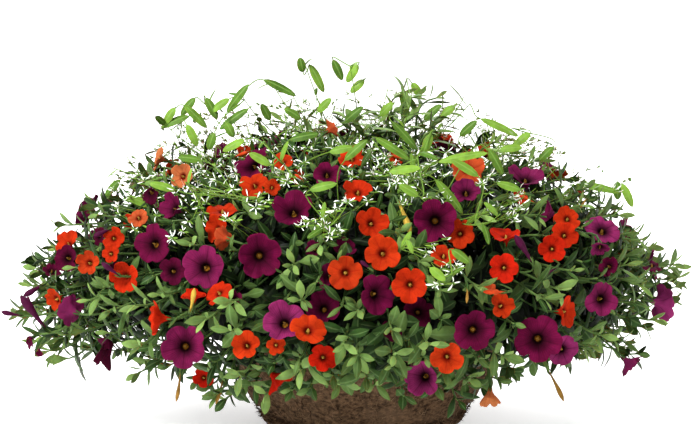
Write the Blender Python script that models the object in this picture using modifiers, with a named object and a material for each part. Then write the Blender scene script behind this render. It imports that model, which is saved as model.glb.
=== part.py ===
"""A mixed calibrachoa hanging basket: a moulded coir bowl with a wire rim hoop, its potting soil, four bushy
calibrachoa plants with plum and orange blooms, and an airy white euphorbia that rises through their middle.

The bowl stands on the origin. +Z is up and -Y is the front, the side that the blooms were placed from.
"""

import itertools
import math
import random
from collections import namedtuple

import bmesh
import bpy
from mathutils import Vector
from mathutils.bvhtree import BVHTree

# Coir bowl, in metres
RIM_RADIUS = 0.1525
BOWL_DEPTH = 0.150
BASE_RADIUS = 0.076
SHOULDER_RADIUS = 0.1000
SHOULDER_HEIGHT = 0.019
WALL = 0.009
BOWL_SIDES = 24

# Wire hoop round the rim
HOOP_WIRE_RADIUS = 0.0016
HOOP_HEIGHT = 0.141
HOOP_SIDES = 24

# Potting soil
SOIL_EDGE_HEIGHT = 0.132
SOIL_CROWN = 0.004
HOLE_DEPTH = 0.024
GAP = 0.0003

# Foliage: how far the leaf tips reach from the middle of the dome, and how much of that is dense inside
DOME_HEIGHT = 0.140
REACH_LEFT = 0.300
REACH_RIGHT = 0.285
REACH_FRONT = 0.262
REACH_BACK = 0.250
REACH_UP = 0.128
REACH_DOWN = 0.084
PLANTS = 4
PLANT_ANGLE = 2 * math.pi / PLANTS
CROWN_CIRCLE = 0.088
CROWN_STEM_RADIUS = 0.0045
CROWN_STEM_TOP = 0.165
SECTOR_GAP = 0.0004
CORE_SLICES = 5
CORE_MIDDLE = 0.024
CORE_LUMP = 0.011
CORE_HOLLOW = 0.006
CORE_RAGGED = 0.004

# Leaves and stems of the calibrachoa
WHORL_RADIUS = 0.026
LOWER_WHORL_RADIUS = 1.15 * WHORL_RADIUS
TIP_LEAVES = 5
LOWER_LEAVES = 4
BROAD = 0.25
# Every second leaf of a whorl is shorter and stands more upright, as shares of the others
SHORT_LEAF = 0.84
UPRIGHT_LEAF = 1.6
LEAF_CUP = 0.42
# A whorl's half thickness above and below its leaves, and how far its collar reaches down and up the stem
WHORL_TOP = 0.002
WHORL_BOTTOM = 0.003
COLLAR_DOWN = 0.0016
COLLAR_UP = 0.0012
TIP_RISE = 0.0018
STAR_RISE = 0.0014
SHOOT_RADII = (0.0018, 0.0016, 0.0014)
# Where a shoot's whorls sit, counted in points of its path, whose last is number 2
TIP_PLACE = 2
LOWER_PLACE = 1.1
STALK_RADII = (0.0017, 0.0014, 0.0014, 0.0018)
FRONT_SHOOTS = 12
BACK_SHOOTS = 37
GOLDEN_ANGLE = math.radians(137.508)

# Euphorbia
EUPHORBIA_STEM_RADIUS = 0.0032
EUPHORBIA_TRUNK_TOP = 0.275
EUPHORBIA_BRANCH_STEP = 0.0016
EUPHORBIA_LEAF = 0.033
NARROW = 0.11
SPRAY_RADII = (0.0015, 0.0013, 0.0012, 0.0011)
SPRAY_WHORL_PLACE = 2.3
FLORET_RADIUS = 0.0085

# The front view that the blooms and shoot tips are read from: a point in front of the basket, looking
# slightly down at LOOK_AT, and the real size of one picture element there
LOOK_AT = Vector((-0.012, 0.0, 0.200))
VIEW_DISTANCE = 2.10
VIEW_ELEVATION = math.radians(10.0)
PIXEL = 0.00093
PICTURE_MIDDLE = (350, 212)

# Blooms of the front: colour, place in the front view (px, py), where the face looks (turn to the right of
# the viewer and tilt up, in degrees), real diameter in millimetres. Blooms that share a bunch number and a
# colour grow from one point behind them. Where the bloom stands above the dome, its depth is given in metres
Bloom = namedtuple("Bloom", "colour px py turn tilt size bunch depth", defaults=[None])
FRONT_BLOOMS = [
    Bloom("plum", 151, 243, -33, 22, 36, 1),
    Bloom("plum", 172, 208, -55, 25, 28, 1),
    Bloom("plum", 150, 191, -20, 30, 22, 1, -0.10),
    Bloom("plum", 203, 267, -18, 18, 38, 2),
    Bloom("plum", 172, 271, -10, 15, 24, 2),
    Bloom("plum", 260, 256, 7, 10, 39, 3),
    Bloom("plum", 293, 209, -9, 50, 37, 4),
    Bloom("plum", 251, 164, -47, 35, 34, 5),
    Bloom("plum", 184, 347, -4, 10, 38, 6),
    Bloom("plum", 283, 321, -13, 36, 36, 7),
    Bloom("plum", 324, 308, 0, 25, 30, 7, -0.225),
    Bloom("plum", 378, 294, 39, 10, 34, 8),
    Bloom("plum", 418, 312, 0, 15, 27, 8, -0.225),
    Bloom("plum", 435, 220, -2, 15, 39, 9),
    Bloom("plum", 466, 191, -3, 45, 26, 9),
    Bloom("plum", 526, 176, 5, 68, 36, 10),
    Bloom("plum", 474, 330, 5, 10, 36, 11),
    Bloom("plum", 538, 340, -3, 6, 41, 12),
    Bloom("plum", 563, 351, 15, -8, 29, 12),
    Bloom("plum", 604, 299, 31, 10, 32, 13),
    Bloom("plum", 423, 378, -22, 2, 32, 14),
    Bloom("plum", 603, 228, 9, 50, 33, 15),
    Bloom("plum", 600, 249, 0, -40, 18, 15),
    Bloom("plum", 548, 213, -75, 15, 21, 23, -0.105),
    Bloom("plum", 664, 304, 118, -15, 36, 16),
    Bloom("plum", 652, 263, -8, 78, 21, 16),
    Bloom("plum", 112, 345, 64, -15, 35, 17),
    Bloom("plum", 69, 310, -132, 5, 30, 18),
    Bloom("plum", 28, 304, -60, 0, 15, 19, -0.08),
    Bloom("plum", 28, 339, -50, -10, 16, 19, -0.08),
    Bloom("plum", 37, 351, -40, -45, 14, 19, -0.08),
    Bloom("plum", 327, 173, 0, 45, 25, 20),
    Bloom("plum", 631, 365, 68, -40, 25, 21),
    Bloom("plum", 66, 258, -25, 15, 25, 22),
    Bloom("orange", 382, 253, -6, 18, 31, 1),
    Bloom("orange", 345, 273, -3, 10, 31, 1),
    Bloom("orange", 410, 285, -2, 10, 30, 1),
    Bloom("orange", 372, 223, 10, 20, 28, 2),
    Bloom("orange", 358, 190, 0, 50, 27, 2),
    Bloom("orange", 352, 157, 0, 40, 25, 3),
    Bloom("orange", 333, 128, 100, 30, 21, 3, -0.05),
    Bloom("orange", 215, 229, -47, 15, 24, 4),
    Bloom("orange", 222, 238, -127, 5, 22, 22),
    Bloom("orange", 223, 208, 20, 72, 28, 4),
    Bloom("orange", 253, 184, -33, 38, 27, 5),
    Bloom("orange", 272, 187, 0, 30, 16, 5),
    Bloom("orange", 283, 161, -10, 40, 18, 5, -0.10),
    Bloom("orange", 504, 268, -4, 10, 26, 6),
    Bloom("orange", 503, 305, 35, 25, 23, 6),
    Bloom("orange", 461, 233, 7, 20, 26, 7),
    Bloom("orange", 444, 254, 5, 50, 24, 7),
    Bloom("orange", 506, 233, -4, 80, 27, 7),
    Bloom("orange", 447, 357, -3, 10, 28, 8),
    Bloom("orange", 323, 358, 1, 8, 24, 9),
    Bloom("orange", 309, 328, 15, 42, 31, 9),
    Bloom("orange", 246, 345, -13, 25, 25, 10),
    Bloom("orange", 276, 346, 0, 0, 17, 10),
    Bloom("orange", 552, 249, -5, 12, 24, 11),
    Bloom("orange", 565, 235, 5, 20, 25, 11),
    Bloom("orange", 568, 218, 5, 30, 24, 11),
    Bloom("orange", 113, 238, -10, 20, 21, 12),
    Bloom("orange", 138, 217, -15, 35, 19, 12),
    Bloom("orange", 124, 277, -15, 5, 28, 13),
    Bloom("orange", 110, 254, -20, 10, 17, 13),
    Bloom("orange", 88, 263, -20, 15, 23, 13),
    Bloom("orange", 155, 318, -80, 5, 30, 14),
    Bloom("orange", 193, 294, 0, 83, 23, 14),
    Bloom("orange", 217, 291, -47, 45, 25, 14),
    Bloom("orange", 67, 242, -35, 50, 24, 15),
    Bloom("orange", 54, 301, -45, -15, 25, 15),
    Bloom("orange", 468, 168, -3, 35, 31, 16),
    Bloom("orange", 203, 378, -11, 10, 19, 17),
    Bloom("orange", 568, 312, 62, 5, 28, 18),
    Bloom("orange", 490, 399, -3, -60, 24, 19),
    Bloom("orange", 280, 381, 72, -35, 29, 20),
    Bloom("orange", 157, 158, -75, 18, 23, 21, -0.02),
    Bloom("orange", 181, 176, -35, 20, 23, 21),
]
LOBES = 5
# Shares of a bloom's size: how far behind its face the neck, the foot, the throat and its floor are, then the
# radii of the neck and the throat
NECK_DEPTH = 0.20
TUBE_LENGTH = 0.46
THROAT_DEPTH = 0.11
FLOOR_DEPTH = 0.25
PLAIN_FLOOR_DEPTH = 0.13
NECK_RADIUS = 0.13
THROAT_RADIUS = 0.10
# One lobe's edge: turn from the notch in radians, share of the bloom's radius, and height as a share of its size
ROUND_LOBE = ((0.0, 0.80, -0.035), (0.40, 0.985, 0.01), (0.86, 0.985, 0.01))
POINTED_LOBE = ((0.0, 0.78, -0.035), (0.63, 1.0, 0.01))
# The foot of a single tube, and the bead where the tubes of a bunch meet: its radius and the shape of its ends
TUBE_FOOT_RADIUS = 0.0014
BEAD_RADIUS = 0.0024
BEAD_WIDTH = 0.82
BEAD_HALF_LENGTH = 0.58
# Blooms from this size up have rounded lobes, and smaller ones pointed lobes
ROUND_LOBES = 0.030
# Blooms below this size have a plain shallow funnel, with no step at the throat
PLAIN_FUNNEL = 0.026
# Clear space round the bowl and above the ground that no leaf or stem enters
BOWL_GAP = 0.0055
GROUND_GAP = 0.003
# Radius from which the dense inside of the plants hangs down outside the rim
CORE_SKIRT = RIM_RADIUS + BOWL_GAP + 0.002
# Depth steps, in metres, tried along the sight line for a bloom that would touch another
DEPTH_STEPS = [0.0, 0.010, -0.008, 0.020, -0.016, 0.030, 0.040, -0.024, 0.050, 0.060]

# Blooms of the back, which the front view doesn't show: bunches of three on a spiral over that half
BACK_BUNCHES = 7
# They stand in even steps from BACK_START round the back, each higher than the last, and BACK_STRIDE steps on
BACK_STRIDE = 3
BACK_START = math.radians(14)
BACK_TURN = math.radians(152)
BACK_LOW = math.radians(-6)
BACK_RISE = math.radians(58)
BACK_SPREAD = 0.024
BACK_SIZES = {"plum": 0.037, "orange": 0.030}

# Tips of the leafy shoots that draw the outline of the front view, and their depth behind the front view's
# middle plane, in metres
Tip = namedtuple("Tip", "px py depth")
OUTLINE_TIPS = [
    Tip(6, 316, -0.01),
    Tip(16, 286, 0.02),
    Tip(22, 268, 0.05),
    Tip(20, 345, -0.05),
    Tip(46, 362, -0.02),
    Tip(44, 246, 0.03),
    Tip(76, 202, 0.00),
    Tip(122, 166, 0.02),
    Tip(124, 379, -0.08),
    Tip(136, 368, -0.12),
    Tip(196, 404, -0.11),
    Tip(231, 418, -0.14),
    Tip(687, 264, 0.00),
    Tip(664, 246, 0.05),
    Tip(688, 288, 0.03),
    Tip(640, 345, -0.04),
    Tip(612, 212, 0.02),
    Tip(558, 190, 0.03),
    Tip(600, 352, -0.10),
    Tip(556, 382, -0.08),
    Tip(524, 376, -0.14),
    Tip(460, 412, -0.155),
    Tip(402, 408, -0.17),
    Tip(300, 402, -0.18),
    Tip(350, 376, -0.20),
    Tip(402, 96, 0.02),
    Tip(442, 112, 0.05),
    Tip(350, 108, -0.02),
]

# Tips of the euphorbia sprays in the front view, with their depth
EUPHORBIA_TIPS = [
    Tip(113, 168, -0.03),
    Tip(163, 122, 0.00),
    Tip(205, 104, 0.02),
    Tip(240, 92, -0.02),
    Tip(270, 80, 0.03),
    Tip(304, 61, 0.00),
    Tip(350, 66, -0.02),
    Tip(412, 92, -0.03),
    Tip(470, 104, 0.02),
    Tip(512, 128, -0.03),
    Tip(548, 140, 0.03),
    Tip(632, 178, 0.00),
    Tip(185, 182, -0.16),
    Tip(262, 138, -0.14),
    Tip(322, 216, -0.25),
    Tip(408, 238, -0.26),
    Tip(452, 274, -0.27),
    Tip(500, 214, -0.24),
    Tip(420, 150, -0.18),
]
BACK_SPRAYS = 6

Plant = namedtuple("Plant", "name angle")
Whorl = namedtuple("Whorl", "place middle axis near radius leaves roll half_width")
Placed = namedtuple("Placed", "node middle face size roll piece")


def sight(px, py):
    """The unit direction from the viewpoint through a place in the front view."""
    right = Vector((1, 0, 0))
    up = Vector((0, math.sin(VIEW_ELEVATION), math.cos(VIEW_ELEVATION)))
    across = (px - PICTURE_MIDDLE[0]) * PIXEL
    above = (PICTURE_MIDDLE[1] - py) * PIXEL
    return (LOOK_AT + right * across + up * above - viewpoint()).normalized()


def viewpoint():
    back = Vector((0, -math.cos(VIEW_ELEVATION), math.sin(VIEW_ELEVATION)))
    return LOOK_AT + back * VIEW_DISTANCE


def reach(direction):
    """How far the leaf tips reach from the middle of the dome in this direction."""
    x, y, z = direction
    along_x = x / (REACH_LEFT if x < 0 else REACH_RIGHT)
    along_y = y / (REACH_FRONT if y < 0 else REACH_BACK)
    along_z = z / (REACH_UP if z > 0 else REACH_DOWN)
    return 1 / math.sqrt(along_x**2 + along_y**2 + along_z**2)


def dome_level(point):
    """1 on the surface of the leafy dome, less inside it."""
    offset = point - Vector((0, 0, DOME_HEIGHT))
    return offset.length / reach(offset.normalized())


def on_dome(px, py):
    """The nearest place where a sight line meets the dome, or passes closest to it."""
    eye = viewpoint()
    ray = sight(px, py)
    steps = [eye + ray * (VIEW_DISTANCE - 0.33 + 0.004 * i) for i in range(165)]
    for point in steps:
        if dome_level(point) <= 1:
            return point
    return min(steps, key=dome_level)


def at_depth(px, py, depth):
    """The place on a sight line that lies at this depth, where 0 is the basket's middle and + is behind it."""
    eye = viewpoint()
    ray = sight(px, py)
    return eye + ray * ((depth - eye.y) / ray.y)


def facing(turn, tilt):
    """The direction that a bloom's face looks, from its turn and tilt in degrees."""
    turn = math.radians(turn)
    tilt = math.radians(tilt)
    return Vector((math.sin(turn) * math.cos(tilt), -math.cos(turn) * math.cos(tilt), math.sin(tilt)))


def random_step(rng):
    """A vector with each part drawn between -1 and 1."""
    return Vector([rng.uniform(-1, 1) for _ in range(3)])


def bezier(a, b, c, d, steps):
    """Points along a cubic curve."""
    points = []
    for i in range(steps + 1):
        t = i / steps
        s = 1 - t
        points.append(a * s**3 + b * 3 * s * s * t + c * 3 * s * t * t + d * t**3)
    return points


def side_of(direction):
    """A unit vector square to this direction, level where it can be."""
    flat = direction.cross(Vector((0, 0, 1)))
    if flat.length < 1e-4:
        flat = direction.cross(Vector((0, 1, 0)))
    return flat.normalized()


class Piece:
    """Points and triangles of one closed body."""

    def __init__(self):
        self.points = []
        self.faces = []

    def ring(self, points):
        """Adds points and returns their numbers."""
        first = len(self.points)
        self.points += [Vector(p) for p in points]
        return list(range(first, len(self.points)))

    def join(self, lower, upper):
        """Triangles between two closed rings that start at the same turn, of any two counts."""
        n = len(lower)
        m = len(upper)
        i = 0
        k = 0
        while i < n or k < m:
            if k == m or (i < n and (i + 1) * m <= (k + 1) * n):
                self.faces.append((lower[i], lower[(i + 1) % n], upper[k % m]))
                i += 1
            else:
                self.faces.append((lower[i % n], upper[(k + 1) % m], upper[k]))
                k += 1

    def fan(self, ring, point, flip=False):
        for i in range(len(ring)):
            ends = (ring[i], ring[(i + 1) % len(ring)])
            self.faces.append((ends[1], ends[0], point) if flip else (ends[0], ends[1], point))

    def mesh(self, name):
        data = bpy.data.meshes.new(name)
        data.from_pydata([tuple(p) for p in self.points], [], self.faces)
        shell = bmesh.new()
        shell.from_mesh(data)
        bmesh.ops.recalc_face_normals(shell, faces=shell.faces)
        if shell.calc_volume(signed=True) < 0:
            bmesh.ops.reverse_faces(shell, faces=shell.faces)
        shell.to_mesh(data)
        shell.free()
        return data


def tube(path, radii, sides):
    """A closed stem along a path, pointed by its last radius."""
    piece = Piece()
    rings = []
    for i, (point, radius) in enumerate(zip(path, radii)):
        ahead = path[min(i + 1, len(path) - 1)] - path[max(i - 1, 0)]
        ahead.normalize()
        across = side_of(ahead)
        over = ahead.cross(across)
        turns = [2 * math.pi * k / sides for k in range(sides)]
        rings.append(piece.ring([point + (across * math.cos(a) + over * math.sin(a)) * radius for a in turns]))
    for lower, upper in zip(rings, rings[1:]):
        piece.join(lower, upper)
    for ring in (rings[0], rings[-1]):
        for k in range(1, sides - 1):
            piece.faces.append((ring[0], ring[k], ring[k + 1]))
    return piece


def whorl_outline(middle, axis, near, radius, leaves, roll, half_width):
    """Points round the edge of a whorl of leaves, which start between two leaves at this roll from `near`."""
    across = (near - axis * near.dot(axis)).normalized()
    over = axis.cross(across)
    share = 2 * math.pi / leaves
    # turn from the leaf's start as a share of it, then how far out and how far up of its whole length and lift
    shape = ((0.0, 0.15, 0.05), (0.5 - half_width, 0.62, 0.55), (0.5, 1.0, 1.0), (0.5 + half_width, 0.62, 0.55))
    outline = []
    for k in range(leaves):
        long = radius * (1.0 if k % 2 == 0 else SHORT_LEAF)
        lift = LEAF_CUP * (1.0 if k % 2 == 0 else UPRIGHT_LEAF)
        for turn, far, rise in shape:
            a = roll + (k + turn) * share
            out = across * math.cos(a) + over * math.sin(a)
            outline.append(middle + out * (long * far) + axis * (long * lift * rise))
    return outline


def whorl(w):
    """A whorl as a closed body of its own, to see whether there is room for it."""
    piece = Piece()
    ring = piece.ring(whorl_outline(w.middle, w.axis, w.near, w.radius, w.leaves, w.roll, w.half_width))
    top, bottom = piece.ring([w.middle + w.axis * WHORL_TOP, w.middle - w.axis * WHORL_BOTTOM])
    piece.fan(ring, top)
    piece.fan(ring, bottom, flip=True)
    return piece


def shoot(path, radii, whorls, tip_star=0.0):
    """A three-sided stem with its whorls of leaves grown on, as one closed body.

    Each whorl but one at the very tip is a collar that the stem passes through."""
    piece = Piece()
    near = side_of((path[1] - path[0]).normalized())
    waiting = sorted(whorls, key=lambda w: w.place)
    rings = []

    def stem_ring(point, axis, radius, roll=0.0):
        across = (near - axis * near.dot(axis)).normalized()
        over = axis.cross(across)
        turns = [roll + 2 * math.pi * k / 3 for k in range(3)]
        return piece.ring([point + (across * math.cos(a) + over * math.sin(a)) * radius for a in turns])

    for i, point in enumerate(path):
        ahead = (path[min(i + 1, len(path) - 1)] - path[max(i - 1, 0)]).normalized()
        last = i == len(path) - 1
        while waiting and waiting[0].place <= i and (waiting[0].place < i or not last):
            w = waiting.pop(0)
            radius = radii[max(i - 1, 0)] * 0.5 + radii[i] * 0.5
            along = (path[i] - path[i - 1]).normalized()
            rings.append(stem_ring(w.middle - along * COLLAR_DOWN, along, radius, w.roll))
            outline = whorl_outline(w.middle, w.axis, near, w.radius, w.leaves, w.roll, w.half_width)
            rings.append(piece.ring(outline))
            rings.append(stem_ring(w.middle + along * COLLAR_UP, along, radius, w.roll))
        if not last:
            rings.append(stem_ring(point, ahead, radii[i], waiting[0].roll if waiting else 0.0))
            continue
        roll = waiting[0].roll if waiting else 0.0
        rings.append(stem_ring(point - ahead * COLLAR_DOWN, ahead, radii[i], roll))
        if waiting:
            w = waiting[0]
            ring = piece.ring(whorl_outline(point, w.axis, near, w.radius, w.leaves, w.roll, w.half_width))
            top = piece.ring([point + w.axis * TIP_RISE])[0]
            rings.append(ring)
        elif tip_star:
            ring = piece.ring(star_outline(point, ahead, near, tip_star))
            top = piece.ring([point + ahead * STAR_RISE])[0]
            rings.append(ring)
        else:
            ring = rings[-1]
            top = piece.ring([point])[0]
    for lower, upper in zip(rings, rings[1:]):
        piece.join(lower, upper)
    piece.fan(ring, top)
    piece.faces.append(tuple(reversed(rings[0])))
    return piece


def star_outline(middle, axis, near, radius, points=4):
    """Points round a small pointed flower head."""
    across = (near - axis * near.dot(axis)).normalized()
    over = axis.cross(across)
    outline = []
    for k in range(2 * points):
        a = math.pi * k / points
        far = radius if k % 2 == 1 else radius * 0.36
        rise = 0.22 * radius if k % 2 == 1 else 0
        outline.append(middle + (across * math.cos(a) + over * math.sin(a)) * far + axis * rise)
    return outline


def around(middle, axis, radius, count, roll):
    """Points round an axis, at equal turns from this roll on."""
    across = side_of(axis)
    over = axis.cross(across)
    turns = [roll + 2 * math.pi * k / count for k in range(count)]
    return [middle + (across * math.cos(a) + over * math.sin(a)) * radius for a in turns]


def bloom_head(piece, middle, face, size, roll):
    """Adds the open end of a bloom: five broad lobes and a hollow throat. Returns the ring at its neck."""
    across = side_of(face)
    over = face.cross(across)
    edge = []
    for k in range(LOBES):
        for turn, share, height in ROUND_LOBE if size >= ROUND_LOBES else POINTED_LOBE:
            a = roll + 2 * math.pi * k / LOBES + turn
            out = across * math.cos(a) + over * math.sin(a)
            edge.append(middle + out * (size / 2 * share) + face * (size * height))
    neck = piece.ring(around(middle - face * (NECK_DEPTH * size), face, NECK_RADIUS * size, LOBES, roll))
    rim = piece.ring(edge)
    piece.join(neck, rim)
    if size < PLAIN_FUNNEL:
        piece.fan(rim, piece.ring([middle - face * (PLAIN_FLOOR_DEPTH * size)])[0])
        return neck
    throat = piece.ring(around(middle - face * (THROAT_DEPTH * size), face, THROAT_RADIUS * size, LOBES, roll))
    floor = piece.ring([middle - face * (FLOOR_DEPTH * size)])[0]
    piece.join(rim, throat)
    piece.fan(throat, floor)
    return neck


def funnel(middle, face, size, roll):
    """A bloom on its own: its tube runs straight back from its open end."""
    piece = Piece()
    foot = piece.ring(around(middle - face * (TUBE_LENGTH * size), face, TUBE_FOOT_RADIUS, 4, roll))
    neck = bloom_head(piece, middle, face, size, roll)
    piece.faces += [(foot[0], foot[2], foot[1]), (foot[0], foot[3], foot[2])]
    piece.join(foot, neck)
    return piece


def bunch(blooms, point, inward, spin):
    """Two or three blooms whose tubes bend to three faces of one eight-sided bead, as one closed body.

    Returns None where a tube would turn back."""
    across = side_of(inward)
    over = inward.cross(across)
    third = 2 * math.pi / 3
    near = [across * math.cos(spin + a) + over * math.sin(spin + a) for a in (0.0, third, 2 * third)]
    far = [across * math.cos(spin + a) + over * math.sin(spin + a) for a in (third / 2, 3 * third / 2, -third / 2)]
    body = Piece()
    back = body.ring([point + (out * BEAD_WIDTH + inward * BEAD_HALF_LENGTH) * BEAD_RADIUS for out in near])
    front = body.ring([point + (out * BEAD_WIDTH - inward * BEAD_HALF_LENGTH) * BEAD_RADIUS for out in far])
    sides = [(front[k], back[k], back[(k + 1) % 3]) for k in range(3)]
    openings = [(back[(k + 1) % 3], front[k], front[(k + 1) % 3]) for k in range(3)]
    normals = []
    for opening in openings:
        corner = [body.points[i] for i in opening]
        normals.append((sum(corner, Vector()) / 3 - point).normalized())
    toward = [(b.middle - b.face * (NECK_DEPTH * b.size) - point).normalized() for b in blooms]
    best = max(itertools.permutations(range(3), len(blooms)),
               key=lambda order: min(normals[o].dot(t) for o, t in zip(order, toward)))
    if min(normals[o].dot(t) for o, t in zip(best, toward)) < 0.25:
        return None
    body.faces += sides
    body.faces += [(back[0], back[2], back[1]), tuple(front)]
    body.faces += [openings[k] for k in range(3) if k not in best]
    for k, bloom in zip(best, blooms):
        neck = bloom_head(body, bloom.middle, bloom.face, bloom.size, bloom.roll)
        axis = (bloom.middle - point).normalized()
        ring = sorted_round(body, openings[k], axis)
        mouth = sorted_round(body, neck, axis)
        start = min(range(len(mouth)), key=lambda i: turn_between(body, ring[0], mouth[i], point, bloom, axis))
        mouth = mouth[start:] + mouth[:start]
        body.join(ring, mouth)
    return body


def sorted_round(piece, ring, axis):
    """The ring's points in order of their turn about the axis."""
    across = side_of(axis)
    over = axis.cross(across)
    middle = sum((piece.points[i] for i in ring), Vector()) / len(ring)
    return sorted(ring, key=lambda i: math.atan2((piece.points[i] - middle).dot(over),
                                                 (piece.points[i] - middle).dot(across)))


def turn_between(piece, a, b, point, bloom, axis):
    """How far apart in turn about the axis a bead's point and a neck's point are."""
    first = piece.points[a] - point
    second = piece.points[b] - (bloom.middle - bloom.face * (NECK_DEPTH * bloom.size))
    first -= axis * first.dot(axis)
    second -= axis * second.dot(axis)
    return first.angle(second, math.pi)


Item = namedtuple("Item", "node family middle size points tree")


class Space:
    """What is already placed, so that nothing placed later cuts into another node."""

    def __init__(self):
        self.items = []

    def item(self, piece, node, family):
        used = sorted({i for face in piece.faces for i in face})
        points = [piece.points[i] for i in used]
        middle = sum(points, Vector()) / len(points)
        size = max((p - middle).length for p in points)
        return Item(node, family, middle, size, points, BVHTree.FromPolygons(piece.points, piece.faces))

    def add(self, piece, node, family=None):
        self.items.append(self.item(piece, node, family))

    def free(self, piece, node, gap=0.0006, family=None):
        """True if the piece keeps this gap to every other node.

        With a family named, it doesn't cross a piece of another family in its own node either."""
        mine = self.item(piece, node, family)
        for other in self.items:
            if other.node == node and (family is None or other.family == family):
                continue
            if (other.middle - mine.middle).length > other.size + mine.size + gap:
                continue
            if mine.tree.overlap(other.tree):
                return False
            if other.node == node:
                continue
            if any(other.tree.find_nearest(p, gap)[0] is not None for p in mine.points):
                return False
            if any(mine.tree.find_nearest(p, gap)[0] is not None for p in other.points):
                return False
        return True


def clear_of_bowl(piece):
    """True if no edge of the piece dips into the bowl or its hoop, or below the ground."""
    for face in piece.faces:
        for k in range(3):
            a = piece.points[face[k]]
            b = piece.points[face[k - 1]]
            steps = max(2, int((a - b).length / 0.004))
            for i in range(steps + 1):
                p = a.lerp(b, i / steps)
                if p.z < GROUND_GAP:
                    return False
                if p.z < BOWL_DEPTH + 0.004 and math.hypot(p.x, p.y) < RIM_RADIUS + BOWL_GAP:
                    return False
    return True


def material(name, colour, roughness, metallic=0.0):
    made = bpy.data.materials.new(name)
    made.use_nodes = True
    shader = made.node_tree.nodes["Principled BSDF"]
    shader.inputs["Base Color"].default_value = (*colour, 1)
    shader.inputs["Roughness"].default_value = roughness
    shader.inputs["Metallic"].default_value = metallic
    made.diffuse_color = (*colour, 1)
    return made


def add_object(name, data, collection, finish=None):
    made = bpy.data.objects.new(name, data)
    collection.objects.link(made)
    if finish is not None:
        data.materials.append(finish)
    return made


def turned(name, profile, sides, collection, finish):
    """A turned solid: the profile, from the axis up the inside and down the outside, about Z."""
    data = bpy.data.meshes.new(name)
    edges = [(i, i + 1) for i in range(len(profile) - 1)]
    data.from_pydata([(r, 0, z) for r, z in profile], edges, [])
    made = add_object(name, data, collection, finish)
    spin = made.modifiers.new("Turn", "SCREW")
    spin.steps = sides
    spin.render_steps = sides
    spin.use_merge_vertices = True
    spin.merge_threshold = 0.00005
    spin.use_smooth_shade = True
    return made


def bowl_wall(inset, steps=4):
    """(radius, height) points up the bowl's wall from its flat base, this far inside its outer face."""
    shoulder = Vector((SHOULDER_RADIUS, SHOULDER_HEIGHT))
    belly = Vector((0.1340, 0.0700))
    rim = Vector((RIM_RADIUS, BOWL_DEPTH))
    line = [Vector((BASE_RADIUS, 0.0)), Vector((0.0925, 0.0035)), shoulder]
    for i in range(1, steps + 1):
        t = i / steps
        line.append(shoulder * (1 - t) ** 2 + belly * 2 * t * (1 - t) + rim * t * t)
    moved = []
    for i, point in enumerate(line):
        run = line[min(i + 1, len(line) - 1)] - line[max(i - 1, 0)]
        inward = Vector((-run.y, run.x)).normalized()
        moved.append(point + inward * inset)
    return [(p.x, max(p.y, inset)) for p in moved]


def wall_radius(inset, height):
    """The radius of that wall at this height."""
    line = bowl_wall(inset)
    for (r0, z0), (r1, z1) in zip(line, line[1:]):
        if z0 <= height <= z1:
            return r0 + (r1 - r0) * (height - z0) / (z1 - z0)
    return line[-1][0]


def coir_bowl(collection):
    inner = bowl_wall(WALL)
    inner[-1] = (RIM_RADIUS - WALL, BOWL_DEPTH - 0.001)
    lip = (RIM_RADIUS - WALL * 0.5, BOWL_DEPTH + 0.002)
    profile = [(0.0, WALL), *inner[1:], lip, *reversed(bowl_wall(0.0)), (0.0, 0.0)]
    finish = material("coir", (0.072, 0.042, 0.023), 0.95)
    return turned("coir_bowl", profile, BOWL_SIDES, collection, finish)


def rim_hoop(collection):
    """The wire hoop that grips the outside of the rim, where a hanger's legs clip on."""
    clear = wall_radius(0.0, HOOP_HEIGHT + HOOP_WIRE_RADIUS) + HOOP_WIRE_RADIUS + GAP
    bpy.ops.mesh.primitive_torus_add(
        major_radius=clear / math.cos(math.pi / HOOP_SIDES),
        minor_radius=HOOP_WIRE_RADIUS,
        major_segments=HOOP_SIDES,
        minor_segments=4,
        location=(0, 0, HOOP_HEIGHT),
    )
    hoop = bpy.context.object
    hoop.name = "rim_hoop"
    hoop.data.name = "rim_hoop"
    for holder in list(hoop.users_collection):
        holder.objects.unlink(hoop)
    collection.objects.link(hoop)
    hoop.data.materials.append(material("dark_wire", (0.03, 0.035, 0.03), 0.5, 0.8))
    return hoop


def crown_places():
    """(x, y, radius) of each hole in the soil where a plant stands: the calibrachoas, then the euphorbia."""
    places = []
    for k in range(PLANTS):
        a = k * PLANT_ANGLE
        places.append((CROWN_CIRCLE * math.cos(a), CROWN_CIRCLE * math.sin(a), CROWN_STEM_RADIUS))
    return [*places, (0.0, 0.0, EUPHORBIA_STEM_RADIUS)]


def soil_height(radius):
    """Height of the soil's slightly domed top."""
    return SOIL_EDGE_HEIGHT + SOIL_CROWN * (1 - (radius / RIM_RADIUS) ** 2)


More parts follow.
